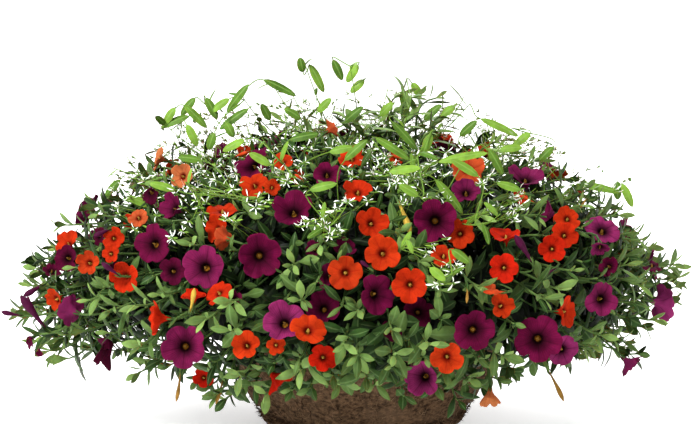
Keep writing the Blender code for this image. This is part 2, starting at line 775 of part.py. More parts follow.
def potting_soil(collection, cutters):
    facet = math.cos(math.pi / BOWL_SIDES)
    inset = WALL + 2 * GAP
    wall = [(r * facet, z) for r, z in bowl_wall(inset, 2)[1:] if z < SOIL_EDGE_HEIGHT - 0.004]
    edge = (wall_radius(inset, SOIL_EDGE_HEIGHT) * facet, SOIL_EDGE_HEIGHT)
    profile = [(0.0, soil_height(0)), (0.09, soil_height(0.09)), edge, *reversed(wall), (0.0, wall[0][1])]
    soil = turned("potting_soil", profile, BOWL_SIDES, collection, material("soil", (0.035, 0.022, 0.015), 1.0))
    for i, (x, y, radius) in enumerate(crown_places()):
        bpy.ops.mesh.primitive_cylinder_add(
            vertices=8,
            radius=radius / math.cos(math.pi / 8) + GAP,
            depth=2 * HOLE_DEPTH,
            location=(x, y, soil_height(math.hypot(x, y))),
        )
        hole = bpy.context.object
        hole.name = f"hole_{i + 1}"
        for holder in list(hole.users_collection):
            holder.objects.unlink(hole)
        cutters.objects.link(hole)
        hole.hide_render = True
        hole.display_type = "WIRE"
    cut = soil.modifiers.new("Plant holes", "BOOLEAN")
    cut.operand_type = "COLLECTION"
    cut.collection = cutters
    cut.operation = "DIFFERENCE"
    cut.solver = "EXACT"
    return soil


def sector_of(point):
    return int(((math.atan2(point.y, point.x) + PLANT_ANGLE / 2) % (2 * math.pi)) // PLANT_ANGLE)


def core_profile(angle):
    """(radius, height) outline of a plant's dense inside, above the soil and out over the rim."""
    out = reach(Vector((math.cos(angle), math.sin(angle), 0)))
    return [
        (CORE_MIDDLE, 0.1560),
        (CORE_SKIRT, 0.1560),
        (CORE_SKIRT + 0.004, 0.118),
        (0.66 * out, 0.114),
        (0.72 * out, 0.142),
        (0.56 * out, 0.172),
        (0.38 * out, 0.194),
        (0.20 * out, 0.208),
        (CORE_MIDDLE, 0.214),
    ]


def core(plant, rng):
    """The dense inside of one plant: a lumpy wedge that ends just short of its neighbours."""
    piece = Piece()
    rings = []
    for i in range(CORE_SLICES + 1):
        angle = plant.angle + PLANT_ANGLE * (i / CORE_SLICES - 0.5)
        points = []
        for k, (r, z) in enumerate(core_profile(angle)):
            point = Vector((r * math.cos(angle), r * math.sin(angle), z))
            if 0 < i < CORE_SLICES and k in (4, 5, 6, 7):
                level = Vector((math.cos(angle), math.sin(angle), 0.5 * (k - 4)))
                inward = 0.0 if k == 4 else -CORE_HOLLOW
                point += level.normalized() * (CORE_LUMP if (i + k) % 2 else inward)
                point += random_step(rng) * CORE_RAGGED
            if i in (0, CORE_SLICES):
                sideways = Vector((-math.sin(angle), math.cos(angle), 0))
                point += sideways * (SECTOR_GAP if i == 0 else -SECTOR_GAP)
            points.append(point)
        rings.append(piece.ring(points))
    for lower, upper in zip(rings, rings[1:]):
        piece.join(lower, upper)
    for ring in (rings[0], rings[-1]):
        for k in range(1, len(ring) - 1):
            piece.faces.append((ring[0], ring[k], ring[k + 1]))
    return piece


def crown_stem(x, y, radius, top):
    bottom = soil_height(math.hypot(x, y)) - HOLE_DEPTH + 2 * GAP
    return tube([Vector((x, y, bottom)), Vector((x, y, top))], [radius, radius], 6)


def root_in_core(target):
    """A place inside the core of the target's own sector, on the side of the target."""
    middle = sector_of(target) * PLANT_ANGLE
    turn = (math.atan2(target.y, target.x) - middle + math.pi) % (2 * math.pi) - math.pi
    limit = PLANT_ANGLE / 2 - 0.10
    angle = middle + max(-limit, min(limit, turn))
    out = reach(Vector((math.cos(angle), math.sin(angle), 0)))
    far = math.hypot(target.x, target.y)
    skirt_inside = CORE_SKIRT + 0.006
    skirt_outside = 0.68 * out - 0.003
    if target.z < 0.145 and far > skirt_outside:
        radius = max(skirt_inside, min(0.70 * far, skirt_outside))
        height = 0.133
    else:
        radius = min(max(0.66 * far, 0.050), 0.54 * out)
        height = max(0.164, min(0.195 - 0.42 * max(0.0, radius - 0.06), 0.5 * target.z + 0.07))
    return Vector((radius * math.cos(angle), radius * math.sin(angle), height))


def wanted_blooms():
    """(node, bunch, place, inward direction, face, size) of every bloom, before any is moved off another."""
    rng = random.Random(11)
    wanted = []
    for bloom in FRONT_BLOOMS:
        node = f"{bloom.colour}_blooms_{bloom.bunch:02d}"
        place = on_dome(bloom.px, bloom.py)
        if bloom.depth is not None:
            place = at_depth(bloom.px, bloom.py, bloom.depth)
        face = facing(bloom.turn, bloom.tilt)
        wanted.append((node, bloom.colour, place, sight(bloom.px, bloom.py), face, bloom.size / 1000))
    for i in range(BACK_BUNCHES):
        angle = BACK_START + BACK_TURN * (BACK_STRIDE * i % BACK_BUNCHES + 0.5) / BACK_BUNCHES
        height = BACK_LOW + BACK_RISE * (i + 0.5) / BACK_BUNCHES
        out = Vector((math.cos(angle) * math.cos(height), math.sin(angle) * math.cos(height), math.sin(height)))
        across = side_of(out)
        over = out.cross(across)
        colour = "plum" if i % 2 == 0 else "orange"
        spin = rng.uniform(0, 2 * math.pi)
        for k in range(3):
            a = spin + 2 * math.pi * k / 3
            lean = across * math.cos(a) + over * math.sin(a)
            aim = (out * reach(out) + lean * BACK_SPREAD).normalized()
            place = Vector((0, 0, DOME_HEIGHT)) + aim * reach(aim)
            face = (out + lean * 0.45 + Vector((0, 0, 0.15))).normalized()
            size = BACK_SIZES[colour] * rng.uniform(0.88, 1.06)
            wanted.append((f"{colour}_blooms_back_{i + 1}", colour, place, -out, face, size))
    return wanted


def placed_blooms(space):
    """Places every bloom, moved along its sight line where it would cut into another."""
    rng = random.Random(12)
    made = []
    for i, (node, colour, place, inward, face, size) in enumerate(wanted_blooms()):
        roll = rng.uniform(0, 2 * math.pi / 5)
        for step in DEPTH_STEPS:
            middle = place + inward * step
            piece = funnel(middle, face, size, roll)
            if space.free(piece, node, gap=0.0012, family=f"bloom {i}"):
                break
        else:
            print("no free place for a bloom of", node, tuple(round(v, 3) for v in place))
            continue
        space.add(piece, node, f"bloom {i}")
        made.append(Placed(node, middle, face, size, roll, piece))
    return made


def foot_of(bloom):
    return bloom.middle - bloom.face * (TUBE_LENGTH * bloom.size)


def crosses_itself(piece):
    """True if two of its faces that share no corner meet."""
    tree = BVHTree.FromPolygons(piece.points, piece.faces)
    return any(not set(piece.faces[i]) & set(piece.faces[k]) for i, k in tree.overlap(tree))


def gathered(space, blooms):
    """The blooms of a bunch with their tubes bent to one bead behind them: the piece, and where the bead is."""
    node = blooms[0].node
    rng = random.Random(len(node))
    feet = sum((foot_of(bloom) for bloom in blooms), Vector()) / len(blooms)
    toward = (sum((bloom.middle for bloom in blooms), Vector()) / len(blooms) - feet).normalized()
    home = (Vector((0, 0, DOME_HEIGHT)) - feet).normalized()
    for attempt in range(1200):
        spread = 0.00002 * attempt
        point = feet + home * 0.003 + random_step(rng) * spread
        lean = random_step(rng) * (0.002 * attempt)
        inward = (home * 0.6 - toward + lean).normalized()
        found = bunch(blooms, point, inward, rng.uniform(0, 2 * math.pi / 3))
        if found is None:
            continue
        if not crosses_itself(found) and space.free(found, node, gap=0.0008):
            space.add(found, node)
            return found, point, inward
    print("the bunch", node, "finds no common foot")
    return None


def flower_stalk(space, plant, node, foot, back, start):
    """The green stalk from the plant's core to a foot that it meets from behind, ending just short of it."""
    rng = random.Random(int(abs(foot.x) * 1e5))
    for attempt in range(150):
        lean = random_step(rng)
        side = (back + lean * (0.008 * attempt)).normalized()
        root = root_in_core(foot)
        if attempt:
            root += random_step(rng) * 0.010
        span = (foot - root).length
        for k in range(5):
            end = foot + side * (start + 0.0002 * k)
            first = root + (end - root) * 0.35 + Vector((0, 0, 0.12 * span))
            last = end + side * min(0.02, 0.35 * span)
            path = bezier(root, first, last, end, 2)
            path.insert(2, end + side * 0.004)
            piece = tube(path, STALK_RADII, 3)
            if space.free(piece, plant.name, gap=0.00025):
                break
        else:
            continue
        if clear_of_bowl(piece):
            space.add(piece, plant.name, node)
            return piece
    print("no free way for the stalk of", node, tuple(round(v, 3) for v in foot))
    return None


def drawn_in(tip, length):
    """This tip moved toward the middle of the dome, or up where the bowl is behind it.

    What grows on it then ends at the outline."""
    moved = tip - (tip - Vector((0, 0, DOME_HEIGHT))).normalized() * length
    if moved.z < BOWL_DEPTH and math.hypot(moved.x, moved.y) < CORE_SKIRT + 0.012:
        return tip + Vector((0, 0, length))
    return moved


def spread_tips(count, first_angle):
    """Tips spread evenly over half of the dome, from this angle on."""
    tips = []
    for i in range(count):
        height = math.asin(-0.30 + 1.20 * (i + 0.5) / count)
        angle = first_angle + (i * GOLDEN_ANGLE) % math.pi
        out = Vector((math.cos(angle) * math.cos(height), math.sin(angle) * math.cos(height), math.sin(height)))
        tips.append(Vector((0, 0, DOME_HEIGHT)) + out * (reach(out) * (0.94 + 0.07 * math.sin(3.7 * i))))
    return tips


def shoot_tips():
    """The tip of every calibrachoa shoot: the front view's outline, then the front and the back of the dome."""
    tips = [drawn_in(at_depth(tip.px, tip.py, tip.depth), 0.7 * WHORL_RADIUS) for tip in OUTLINE_TIPS]
    return tips + spread_tips(BACK_SHOOTS, 0.0) + spread_tips(FRONT_SHOOTS, math.pi)


def shoot_path(tip, bend):
    """A shoot's line from inside its plant's core to its tip: up and out, then over."""
    root = root_in_core(tip)
    span = (tip - root).length
    out = Vector((tip.x, tip.y, 0)).normalized()
    first = root + (tip - root) * 0.4 + Vector((0, 0, 0.22 * span))
    last = tip - (out * 0.8 + Vector((0, 0, bend))).normalized() * (0.3 * span)
    return bezier(root, first, last, tip, 2)


def placed_shoots(space, plants):
    """(plant name, family, path) of every shoot that finds a way out between the blooms."""
    rng = random.Random(21)
    shoots = []
    for i, tip in enumerate(shoot_tips()):
        plant = plants[sector_of(tip)]
        family = f"shoot {i}"
        for attempt in range(24):
            moved = tip + random_step(rng) * (0.0008 * attempt)
            path = shoot_path(moved, 0.12 * (attempt % 5) - 0.1)
            piece = tube(path, SHOOT_RADII, 3)
            if sector_of(moved) != sector_of(tip) or not clear_of_bowl(piece):
                continue
            if space.free(piece, plant.name):
                space.add(piece, plant.name, family)
                shoots.append((plant.name, family, path))
                break
        else:
            print("no free way for the shoot to", tuple(round(v, 3) for v in tip))
    return shoots


def room_for_whorl(space, node, family, path, place, size, leaves, rng, half_width=BROAD):
    """A whorl at this place on a path, turned or made smaller until it finds room, or None."""
    k = min(int(place), len(path) - 2)
    middle = path[k].lerp(path[k + 1], place - k)
    ahead = (path[k + 1] - path[k]).normalized()
    near = side_of((path[1] - path[0]).normalized())
    outward = (middle - Vector((0, 0, DOME_HEIGHT))).normalized()
    at_tip = place == len(path) - 1
    for attempt in range(24):
        lean = random_step(rng) * (0.03 * attempt)
        axis = (ahead * 0.7 + outward * (0.6 if at_tip else 0.2) + lean).normalized()
        if axis.dot(ahead) < 0.5:
            continue
        found = Whorl(place, middle, axis, near, size * (1 - 0.022 * attempt), leaves,
                      rng.uniform(0, 2 * math.pi), half_width)
        piece = whorl(found)
        if clear_of_bowl(piece) and space.free(piece, node, family=family):
            space.add(piece, node, family)
            return found
    return None


def grown(built, node, path, radii, whorls, tip_star=0.0):
    """The shoot with as many of its whorls as cross nothing that is already built in another node."""
    for count in range(len(whorls), -1, -1):
        piece = shoot(path, radii, whorls[:count], tip_star)
        if built.free(piece, node, gap=0.0003):
            break
    built.add(piece, node)
    return piece


def largest_body(data):
    """Drops from a mesh every loose scrap and every sealed hollow, so that one closed body is left."""
    shell = bmesh.new()
    shell.from_mesh(data)
    waiting = set(shell.faces)
    bodies = []
    while waiting:
        front = [waiting.pop()]
        body = set(front)
        while front:
            for edge in front.pop().edges:
                for face in edge.link_faces:
                    if face in waiting:
                        waiting.remove(face)
                        body.add(face)
                        front.append(face)
        bodies.append(body)
    keep = max(bodies, key=len)
    bmesh.ops.delete(shell, geom=[f for f in shell.faces if f not in keep], context="FACES")
    shell.to_mesh(data)
    shell.free()
    return len(bodies) - 1


def fused(name, pieces, collection, finish):
    """One object made of these overlapping pieces by a Boolean union, which is applied."""
    if len(pieces) == 1:
        return add_object(name, pieces[0].mesh(name), collection, finish)
    helper = bpy.data.collections.new(name + "_parts")
    bpy.context.scene.collection.children.link(helper)
    base = add_object(name, pieces[0].mesh(name), collection, finish)
    for i, piece in enumerate(pieces[1:]):
        add_object(f"{name}_piece_{i}", piece.mesh(f"{name}_piece_{i}"), helper)
    union = base.modifiers.new("Grown together", "BOOLEAN")
    union.operand_type = "COLLECTION"
    union.collection = helper
    union.operation = "UNION"
    union.solver = "MANIFOLD"
    bpy.context.view_layer.update()
    graph = bpy.context.evaluated_depsgraph_get()
    joined = bpy.data.meshes.new_from_object(base.evaluated_get(graph))
    base.modifiers.clear()
    base.data = joined
    joined.materials.clear()
    joined.materials.append(finish)
    for made in list(helper.objects):
        bpy.data.objects.remove(made)
    bpy.data.collections.remove(helper)
    dropped = largest_body(joined)
    if dropped:
        print(name, "drops", dropped, "loose scraps or hollows")
    return base


def euphorbia_sprays(space, node):
    """The trunk and the branching stems of the euphorbia, and the path of each branch."""
    tips = [drawn_in(at_depth(tip.px, tip.py, tip.depth), FLORET_RADIUS) for tip in EUPHORBIA_TIPS]
    for i in range(BACK_SPRAYS):
        angle = math.radians(18 + 144 * i / (BACK_SPRAYS - 1))
        far = 0.10 + 0.11 * (i % 2)
        tips.append(Vector((far * math.cos(angle), far * math.sin(angle), 0.305 - 0.5 * (far - 0.10))))
    trunk = crown_stem(0.0, 0.0, EUPHORBIA_STEM_RADIUS, EUPHORBIA_TRUNK_TOP)
    space.add(trunk, node, "trunk")
    paths = []
    rng = random.Random(5)
    for i, tip in enumerate(sorted(tips, key=lambda tip: -math.hypot(tip.x, tip.y))):
        for attempt in range(40):
            root = Vector((0, 0, EUPHORBIA_TRUNK_TOP - 0.004 - EUPHORBIA_BRANCH_STEP * i))
            span = (tip - root).length
            rise = 0.24 + 0.05 * (attempt % 6)
            first = root + Vector((0, 0, rise * span)) + (tip - root) * 0.12
            last = tip + (root - tip) * 0.3 + Vector((0, 0, 0.12 * span))
            if attempt:
                last += random_step(rng) * 0.02
                first += random_step(rng) * 0.015
            path = bezier(root, first, last, tip, 3)
            piece = tube(path, SPRAY_RADII, 3)
            if space.free(piece, node):
                space.add(piece, node, f"spray {i}")
                paths.append((f"spray {i}", path))
                break
        else:
            print("no free way for a spray to", tuple(round(v, 3) for v in tip))
    return trunk, paths


def main():
    for old in list(bpy.data.objects):
        bpy.data.objects.remove(old)
    scene = bpy.context.scene
    basket = bpy.data.collections.new("Calibrachoa hanging basket")
    cutters = bpy.data.collections.new("Cutters")
    scene.collection.children.link(basket)
    scene.collection.children.link(cutters)

    coir_bowl(basket)
    rim_hoop(basket)
    potting_soil(basket, cutters)

    leaf_green = material("calibrachoa_green", (0.060, 0.105, 0.018), 0.6)
    spray_green = material("euphorbia_green", (0.120, 0.200, 0.032), 0.6)
    finishes = {
        "plum": material("plum_petal", (0.105, 0.0045, 0.028), 0.6),
        "orange": material("orange_petal", (0.46, 0.026, 0.005), 0.6),
    }
    plants = [Plant(f"calibrachoa_{k + 1}", k * PLANT_ANGLE) for k in range(PLANTS)]
    space = Space()
    rng = random.Random(3)
    pieces = {}
    for plant, (x, y, radius) in zip(plants, crown_places()):
        inside = core(plant, rng)
        pieces[plant.name] = [inside, crown_stem(x, y, radius, CROWN_STEM_TOP)]
        space.add(inside, plant.name, "core")

    bunches = {}
    for bloom in placed_blooms(space):
        bunches.setdefault(bloom.node, []).append(bloom)
    heads = {}
    for node, blooms in bunches.items():
        heads[node] = blooms[0].piece
        foot = foot_of(blooms[0])
        back = -blooms[0].face
        start = 0.0002
        if len(blooms) > 1:
            found = gathered(space, blooms)
            if found is None:
                continue
            heads[node], foot, back = found
            start = BEAD_RADIUS * 0.6
        plant = plants[sector_of(foot)]
        stalk = flower_stalk(space, plant, node, foot, back, start)
        if stalk is not None:
            pieces[plant.name].append(stalk)

    trunk, spray_paths = euphorbia_sprays(space, "euphorbia")
    shoots = placed_shoots(space, plants)
    built = Space()
    for node, piece in itertools.chain(heads.items(), [("euphorbia", trunk)]):
        built.add(piece, node)
    for node, placed in pieces.items():
        for piece in placed:
            built.add(piece, node)
    leaf_rng = random.Random(31)
    sprays = [trunk]
    for family, path in spray_paths:
        found = room_for_whorl(space, "euphorbia", family, path, SPRAY_WHORL_PLACE, EUPHORBIA_LEAF, LOWER_LEAVES,
                               leaf_rng, NARROW)
        sprays.append(grown(built, "euphorbia", path, SPRAY_RADII, [found] if found else [], FLORET_RADIUS))
    tips = []
    for name, family, path in shoots:
        tips.append(room_for_whorl(space, name, family, path, TIP_PLACE, WHORL_RADIUS, TIP_LEAVES, leaf_rng))
    for (name, family, path), tip in zip(shoots, tips):
        found = room_for_whorl(space, name, family, path, LOWER_PLACE, LOWER_WHORL_RADIUS, LOWER_LEAVES,
                               leaf_rng)
        pieces[name].append(grown(built, name, path, SHOOT_RADII, [w for w in (found, tip) if w]))

    for plant in plants:
        fused(plant.name, pieces[plant.name], basket, leaf_green)
    fused("euphorbia", sprays, basket, spray_green)
    for node, piece in heads.items():
        add_object(node, piece.mesh(node), basket, finishes[node.split("_")[0]])


main()
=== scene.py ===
"""The looks of the calibrachoa basket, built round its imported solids: every bloom, leafy shoot and white
spray as a finer piece that stands where its solid is, a rough coir bowl, and a plain studio."""

import math
import random
from collections import namedtuple

import bpy
import numpy as np
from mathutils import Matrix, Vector, noise
from mathutils.kdtree import KDTree


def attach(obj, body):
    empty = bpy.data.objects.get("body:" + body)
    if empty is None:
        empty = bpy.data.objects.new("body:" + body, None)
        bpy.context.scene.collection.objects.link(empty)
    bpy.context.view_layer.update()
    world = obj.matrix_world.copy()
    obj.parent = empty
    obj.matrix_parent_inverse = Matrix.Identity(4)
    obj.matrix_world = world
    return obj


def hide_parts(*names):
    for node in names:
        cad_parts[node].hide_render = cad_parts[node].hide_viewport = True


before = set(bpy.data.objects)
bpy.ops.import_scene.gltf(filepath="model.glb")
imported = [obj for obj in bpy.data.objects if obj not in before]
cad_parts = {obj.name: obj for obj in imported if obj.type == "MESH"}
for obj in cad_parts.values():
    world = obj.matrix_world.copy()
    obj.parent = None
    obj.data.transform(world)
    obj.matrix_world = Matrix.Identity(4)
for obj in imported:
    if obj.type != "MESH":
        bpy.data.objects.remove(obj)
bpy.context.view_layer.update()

# Bowl and dome of foliage, as in the part
RIM_RADIUS = 0.1525
BOWL_DEPTH = 0.150
BASE_RADIUS = 0.076
SHOULDER = Vector((0.1000, 0.019))
BELLY = Vector((0.1340, 0.0700))
FOOT_EDGE = Vector((0.0925, 0.0035))
WALL_STEPS = 24
WALL = 0.009
CORE_SKIRT = RIM_RADIUS + 0.0075
# Roots of stems stand this far inside a plant's quarter, in radians. The stems that go to low places outside
# start in its skirt, and the others in its crown
ROOT_MARGIN = 0.10
SKIRT_HEIGHT = 0.133
SKIRT_GAP = 0.006
LOW_PLACES = 0.145
CROWN_LOW = 0.164
CROWN_HIGH = 0.195
CROWN_INSIDE = 0.050
DOME_HEIGHT = 0.140
HOME = Vector((0, 0, DOME_HEIGHT))
REACH_LEFT = 0.300
REACH_RIGHT = 0.285
REACH_FRONT = 0.262
REACH_BACK = 0.250
REACH_UP = 0.128
REACH_DOWN = 0.084
PLANTS = 4
PLANT_ANGLE = 2 * math.pi / PLANTS
GOLDEN_ANGLE = math.radians(137.508)
EUPHORBIA_FORKS = 0.232

# The photograph's view: a point in front of the basket, looking slightly down, and the real size of one of
# its picture elements at LOOK_AT
LOOK_AT = Vector((-0.012, 0.0, 0.200))
VIEW_DISTANCE = 2.10
VIEW_ELEVATION = math.radians(10.0)
PIXEL = 0.00093
PICTURE_MIDDLE = (350, 212)
PICTURE_WIDTH = 700
SENSOR_WIDTH = 36.0
RIGHT = Vector((1, 0, 0))
UP = Vector((0, math.sin(VIEW_ELEVATION), math.cos(VIEW_ELEVATION)))
BACK = Vector((0, -math.cos(VIEW_ELEVATION), math.sin(VIEW_ELEVATION)))
EYE = LOOK_AT + BACK * VIEW_DISTANCE
# Along a sight line, places are tried from this far before LOOK_AT's distance
SEARCH_START = 0.33
SEARCH_STEP = 0.004
SEARCH_STEPS = 165

# Blooms of the front, as in the part: place in the photograph, turn and tilt in degrees, size in mm, bunch,
# and the depth of those that aren't on the dome
Bloom = namedtuple("Bloom", "colour px py turn tilt size bunch depth", defaults=[None])
FRONT_ROWS = {
    "plum": [
        (151, 243, -33, 22, 36, 1), (172, 208, -55, 25, 28, 1), (150, 191, -20, 30, 22, 1, -0.1),
        (203, 267, -18, 18, 38, 2), (172, 271, -10, 15, 24, 2), (260, 256, 7, 10, 39, 3),
        (293, 209, -9, 50, 37, 4), (251, 164, -47, 35, 34, 5), (184, 347, -4, 10, 38, 6),
        (283, 321, -13, 36, 36, 7), (324, 308, 0, 25, 30, 7, -0.225), (378, 294, 39, 10, 34, 8),
        (418, 312, 0, 15, 27, 8, -0.225), (435, 220, -2, 15, 39, 9), (466, 191, -3, 45, 26, 9),
        (526, 176, 5, 68, 36, 10), (474, 330, 5, 10, 36, 11), (538, 340, -3, 6, 41, 12),
        (563, 351, 15, -8, 29, 12), (604, 299, 31, 10, 32, 13), (423, 378, -22, 2, 32, 14),
        (603, 228, 9, 50, 33, 15), (600, 249, 0, -40, 18, 15), (548, 213, -75, 15, 21, 23, -0.105),
        (664, 304, 118, -15, 36, 16), (652, 263, -8, 78, 21, 16), (112, 345, 64, -15, 35, 17),
        (69, 310, -132, 5, 30, 18), (28, 304, -60, 0, 15, 19, -0.08), (28, 339, -50, -10, 16, 19, -0.08),
        (37, 351, -40, -45, 14, 19, -0.08), (327, 173, 0, 45, 25, 20), (631, 365, 68, -40, 25, 21),
        (66, 258, -25, 15, 25, 22),
    ],
    "orange": [
        (382, 253, -6, 18, 31, 1), (345, 273, -3, 10, 31, 1), (410, 285, -2, 10, 30, 1),
        (372, 223, 10, 20, 28, 2), (358, 190, 0, 50, 27, 2), (352, 157, 0, 40, 25, 3),
        (333, 128, 100, 30, 21, 3, -0.05), (215, 229, -47, 15, 24, 4), (222, 238, -127, 5, 22, 22),
        (223, 208, 20, 72, 28, 4), (253, 184, -33, 38, 27, 5), (272, 187, 0, 30, 16, 5),
        (283, 161, -10, 40, 18, 5, -0.1), (504, 268, -4, 10, 26, 6), (503, 305, 35, 25, 23, 6),
        (461, 233, 7, 20, 26, 7), (444, 254, 5, 50, 24, 7), (506, 233, -4, 80, 27, 7),
        (447, 357, -3, 10, 28, 8), (323, 358, 1, 8, 24, 9), (309, 328, 15, 42, 31, 9),
        (246, 345, -13, 25, 25, 10), (276, 346, 0, 0, 17, 10), (552, 249, -5, 12, 24, 11),
        (565, 235, 5, 20, 25, 11), (568, 218, 5, 30, 24, 11), (113, 238, -10, 20, 21, 12),
        (138, 217, -15, 35, 19, 12), (124, 277, -15, 5, 28, 13), (110, 254, -20, 10, 17, 13),
        (88, 263, -20, 15, 23, 13), (155, 318, -80, 5, 30, 14), (193, 294, 0, 83, 23, 14),
        (217, 291, -47, 45, 25, 14), (67, 242, -35, 50, 24, 15), (54, 301, -45, -15, 25, 15),
        (468, 168, -3, 35, 31, 16), (203, 378, -11, 10, 19, 17), (568, 312, 62, 5, 28, 18),
        (490, 399, -3, -60, 24, 19), (280, 381, 72, -35, 29, 20), (157, 158, -75, 18, 23, 21, -0.02),
        (181, 176, -35, 20, 23, 21),
    ],
}
FRONT_BLOOMS = [Bloom(colour, *row) for colour, rows in FRONT_ROWS.items() for row in rows]
TUBE_LENGTH = 0.46
ROUND_LOBES = 0.030
NOTCH_ROUND = 0.80
NOTCH_SMALL = 0.78
NOTCH_DEPTH = 0.035
DEPTH_STEPS = [0.0, 0.010, -0.008, 0.020, -0.016, 0.030, 0.040, -0.024, 0.050, 0.060]
BACK_BUNCHES = 7
BACK_STRIDE = 3
BACK_START = math.radians(14)
BACK_TURN = math.radians(152)
BACK_LOW = math.radians(-6)
BACK_RISE = math.radians(58)
BACK_SPREAD = 0.024
BACK_SIZES = {"plum": 0.037, "orange": 0.030}

# Small blooms half hidden deep among the leaves, which the solids leave out: colour, place and size in mm
HIDDEN_BLOOMS = [
    ("plum", 328, 275, 24), ("plum", 345, 248, 21), ("plum", 314, 250, 17), ("plum", 52, 270, 18),
    ("plum", 608, 266, 18), ("plum", 97, 236, 18), ("plum", 118, 269, 16), ("plum", 392, 330, 20),
    ("plum", 232, 300, 18), ("orange", 245, 154, 18), ("orange", 130, 220, 16), ("orange", 490, 292, 17),
    ("orange", 520, 197, 15), ("orange", 396, 158, 15), ("orange", 298, 177, 14),
]
HIDDEN_DEPTH = 0.014
# Single blooms between the bunches of the back: how many, how near to others, tries for each, highest angle
BACK_SINGLES = 34
BACK_SPACING = 0.036
BACK_TRIES = 40
BACK_BOTTOM = -14
BACK_TOP = 62
BACK_SIDES = (4, 176)

# Tints of single blooms, by their place in the photograph: how far toward the second colour (lighter magenta
# for plum, scarlet for orange) or, where negative, toward the third (near black for plum, painted shade on
# blooms deep in shadow; salmon for orange)
TINTS = {
    (664, 304): 0.9, (423, 378): 0.6, (283, 321): 0.5, (563, 351): 0.6, (526, 176): 0.3, (603, 228): 0.5,
    (600, 249): 0.4, (69, 310): -0.5, (66, 258): -0.5, (150, 191): -0.4, (652, 263): -0.5, (324, 308): -0.3,
    (418, 312): -0.6, (172, 271): -0.5, (631, 365): -0.35, (112, 345): -0.25, (323, 358): 0.9,
    (203, 378): 1.0, (280, 381): 0.9, (504, 268): 0.9, (552, 249): 0.8, (565, 235): 0.5, (193, 294): 0.7,
    (217, 291): 0.5, (155, 318): 0.5, (124, 277): 0.5, (506, 233): 0.8, (157, 158): -0.9, (181, 176): -0.8,
    (222, 238): -0.5, (333, 128): -0.7, (490, 399): -1.0, (468, 168): -0.25, (138, 217): -0.4,
}
TINT_RANGES = {"plum": (-0.25, 0.3), "orange": (-0.08, 0.40)}
# How far a bloom's lobes hang and shrink
WILTED = {(112, 345): 1.0, (150, 191): 0.5, (490, 399): 0.5, (652, 263): 0.3, (28, 339): 0.6, (37, 351): 0.6}

# Buds, and blooms that are closed or fading: kind, place of the calyx, place of the tip
BUDS = [
    ("plum", 45, 328, 24, 297), ("plum", 22, 316, 3, 312), ("plum", 45, 283, 26, 296),
    ("faded", 180, 372, 180, 399), ("faded", 223, 378, 219, 402), ("faded", 548, 370, 564, 398),
    ("faded", 467, 285, 468, 301), ("plum", 556, 268, 541, 277), ("plum", 532, 262, 517, 238),
    ("faded", 588, 196, 580, 209), ("yellow", 398, 201, 412, 231), ("plum", 112, 228, 96, 236),
    ("plum", 120, 276, 104, 264), ("plum", 372, 270, 362, 262), ("orange", 535, 203, 520, 196),
    ("orange", 506, 292, 486, 292), ("orange", 306, 182, 296, 175), ("orange", 232, 158, 248, 152),
    ("yellow", 190, 312, 196, 290), ("orange", 404, 160, 394, 156),
]
BUD_COLOURS = {
    "plum": (0.036, 0.0018, 0.017), "faded": (0.200, 0.105, 0.020), "yellow": (0.34, 0.22, 0.03),
    "orange": (0.36, 0.035, 0.006),
}
BUD_WIDTHS = {"plum": 0.110, "faded": 0.055, "yellow": 0.085, "orange": 0.085}
BUD_RADII = (0.30, 0.36, 0.42, 0.52, 0.70, 0.92, 1.0, 0.80, 0.20)

# Tips of shoots, as place in the photograph and depth: those that stand up among the euphorbia at the top
CREST_TIPS = [
    (404, 94, 0.02), (418, 96, 0.01), (436, 98, 0.02), (395, 112, 0.03), (415, 114, -0.02), (448, 112, 0.0),
    (436, 130, -0.03), (417, 130, 0.02), (378, 124, 0.01), (363, 132, -0.02), (457, 124, 0.03),
    (473, 140, 0.01), (480, 116, 0.02), (496, 142, -0.01), (394, 136, 0.04), (508, 154, 0.03),
    (540, 160, 0.02), (262, 132, 0.02), (284, 122, 0.04), (302, 132, 0.0), (320, 120, 0.03),
    (342, 116, 0.01), (240, 150, 0.02), (208, 158, 0.01), (186, 160, 0.03),
]
# Those at the plants' outline
OUTLINE_TIPS = [
    (6, 316, -0.01), (16, 286, 0.02), (22, 268, 0.05), (20, 345, -0.05), (46, 362, -0.02), (44, 246, 0.03),
    (76, 202, 0.0), (122, 166, 0.02), (124, 379, -0.08), (136, 368, -0.12), (196, 404, -0.11),
    (231, 418, -0.14), (687, 264, 0.0), (664, 246, 0.05), (688, 288, 0.03), (640, 345, -0.04),
    (612, 212, 0.02), (558, 190, 0.03), (600, 352, -0.1), (556, 382, -0.08), (524, 376, -0.14),
    (460, 412, -0.155), (402, 408, -0.17), (300, 402, -0.18), (350, 376, -0.2), (402, 96, 0.02),
    (442, 112, 0.05), (350, 108, -0.02),
]
# Those with broad leaves that hang over the front of the bowl
HANGING = [
    (252, 398, -0.17), (262, 384, -0.18), (276, 398, -0.18), (292, 404, -0.185), (310, 402, -0.19),
    (326, 390, -0.19), (342, 380, -0.195), (358, 376, -0.195), (374, 372, -0.195), (388, 380, -0.19),
    (404, 410, -0.185), (418, 392, -0.19), (434, 398, -0.185), (446, 384, -0.19), (458, 414, -0.17),
    (468, 398, -0.17), (480, 400, -0.16), (496, 392, -0.15), (512, 386, -0.15), (240, 402, -0.165),
    (226, 412, -0.15), (212, 398, -0.15), (198, 394, -0.13), (300, 378, -0.2), (350, 360, -0.205),
    (405, 362, -0.205), (370, 352, -0.21), (325, 365, -0.2), (270, 366, -0.2), (456, 366, -0.2),
    (535, 372, -0.13), (585, 352, -0.1), (150, 372, -0.1), (170, 378, -0.1), (100, 352, -0.06),
]
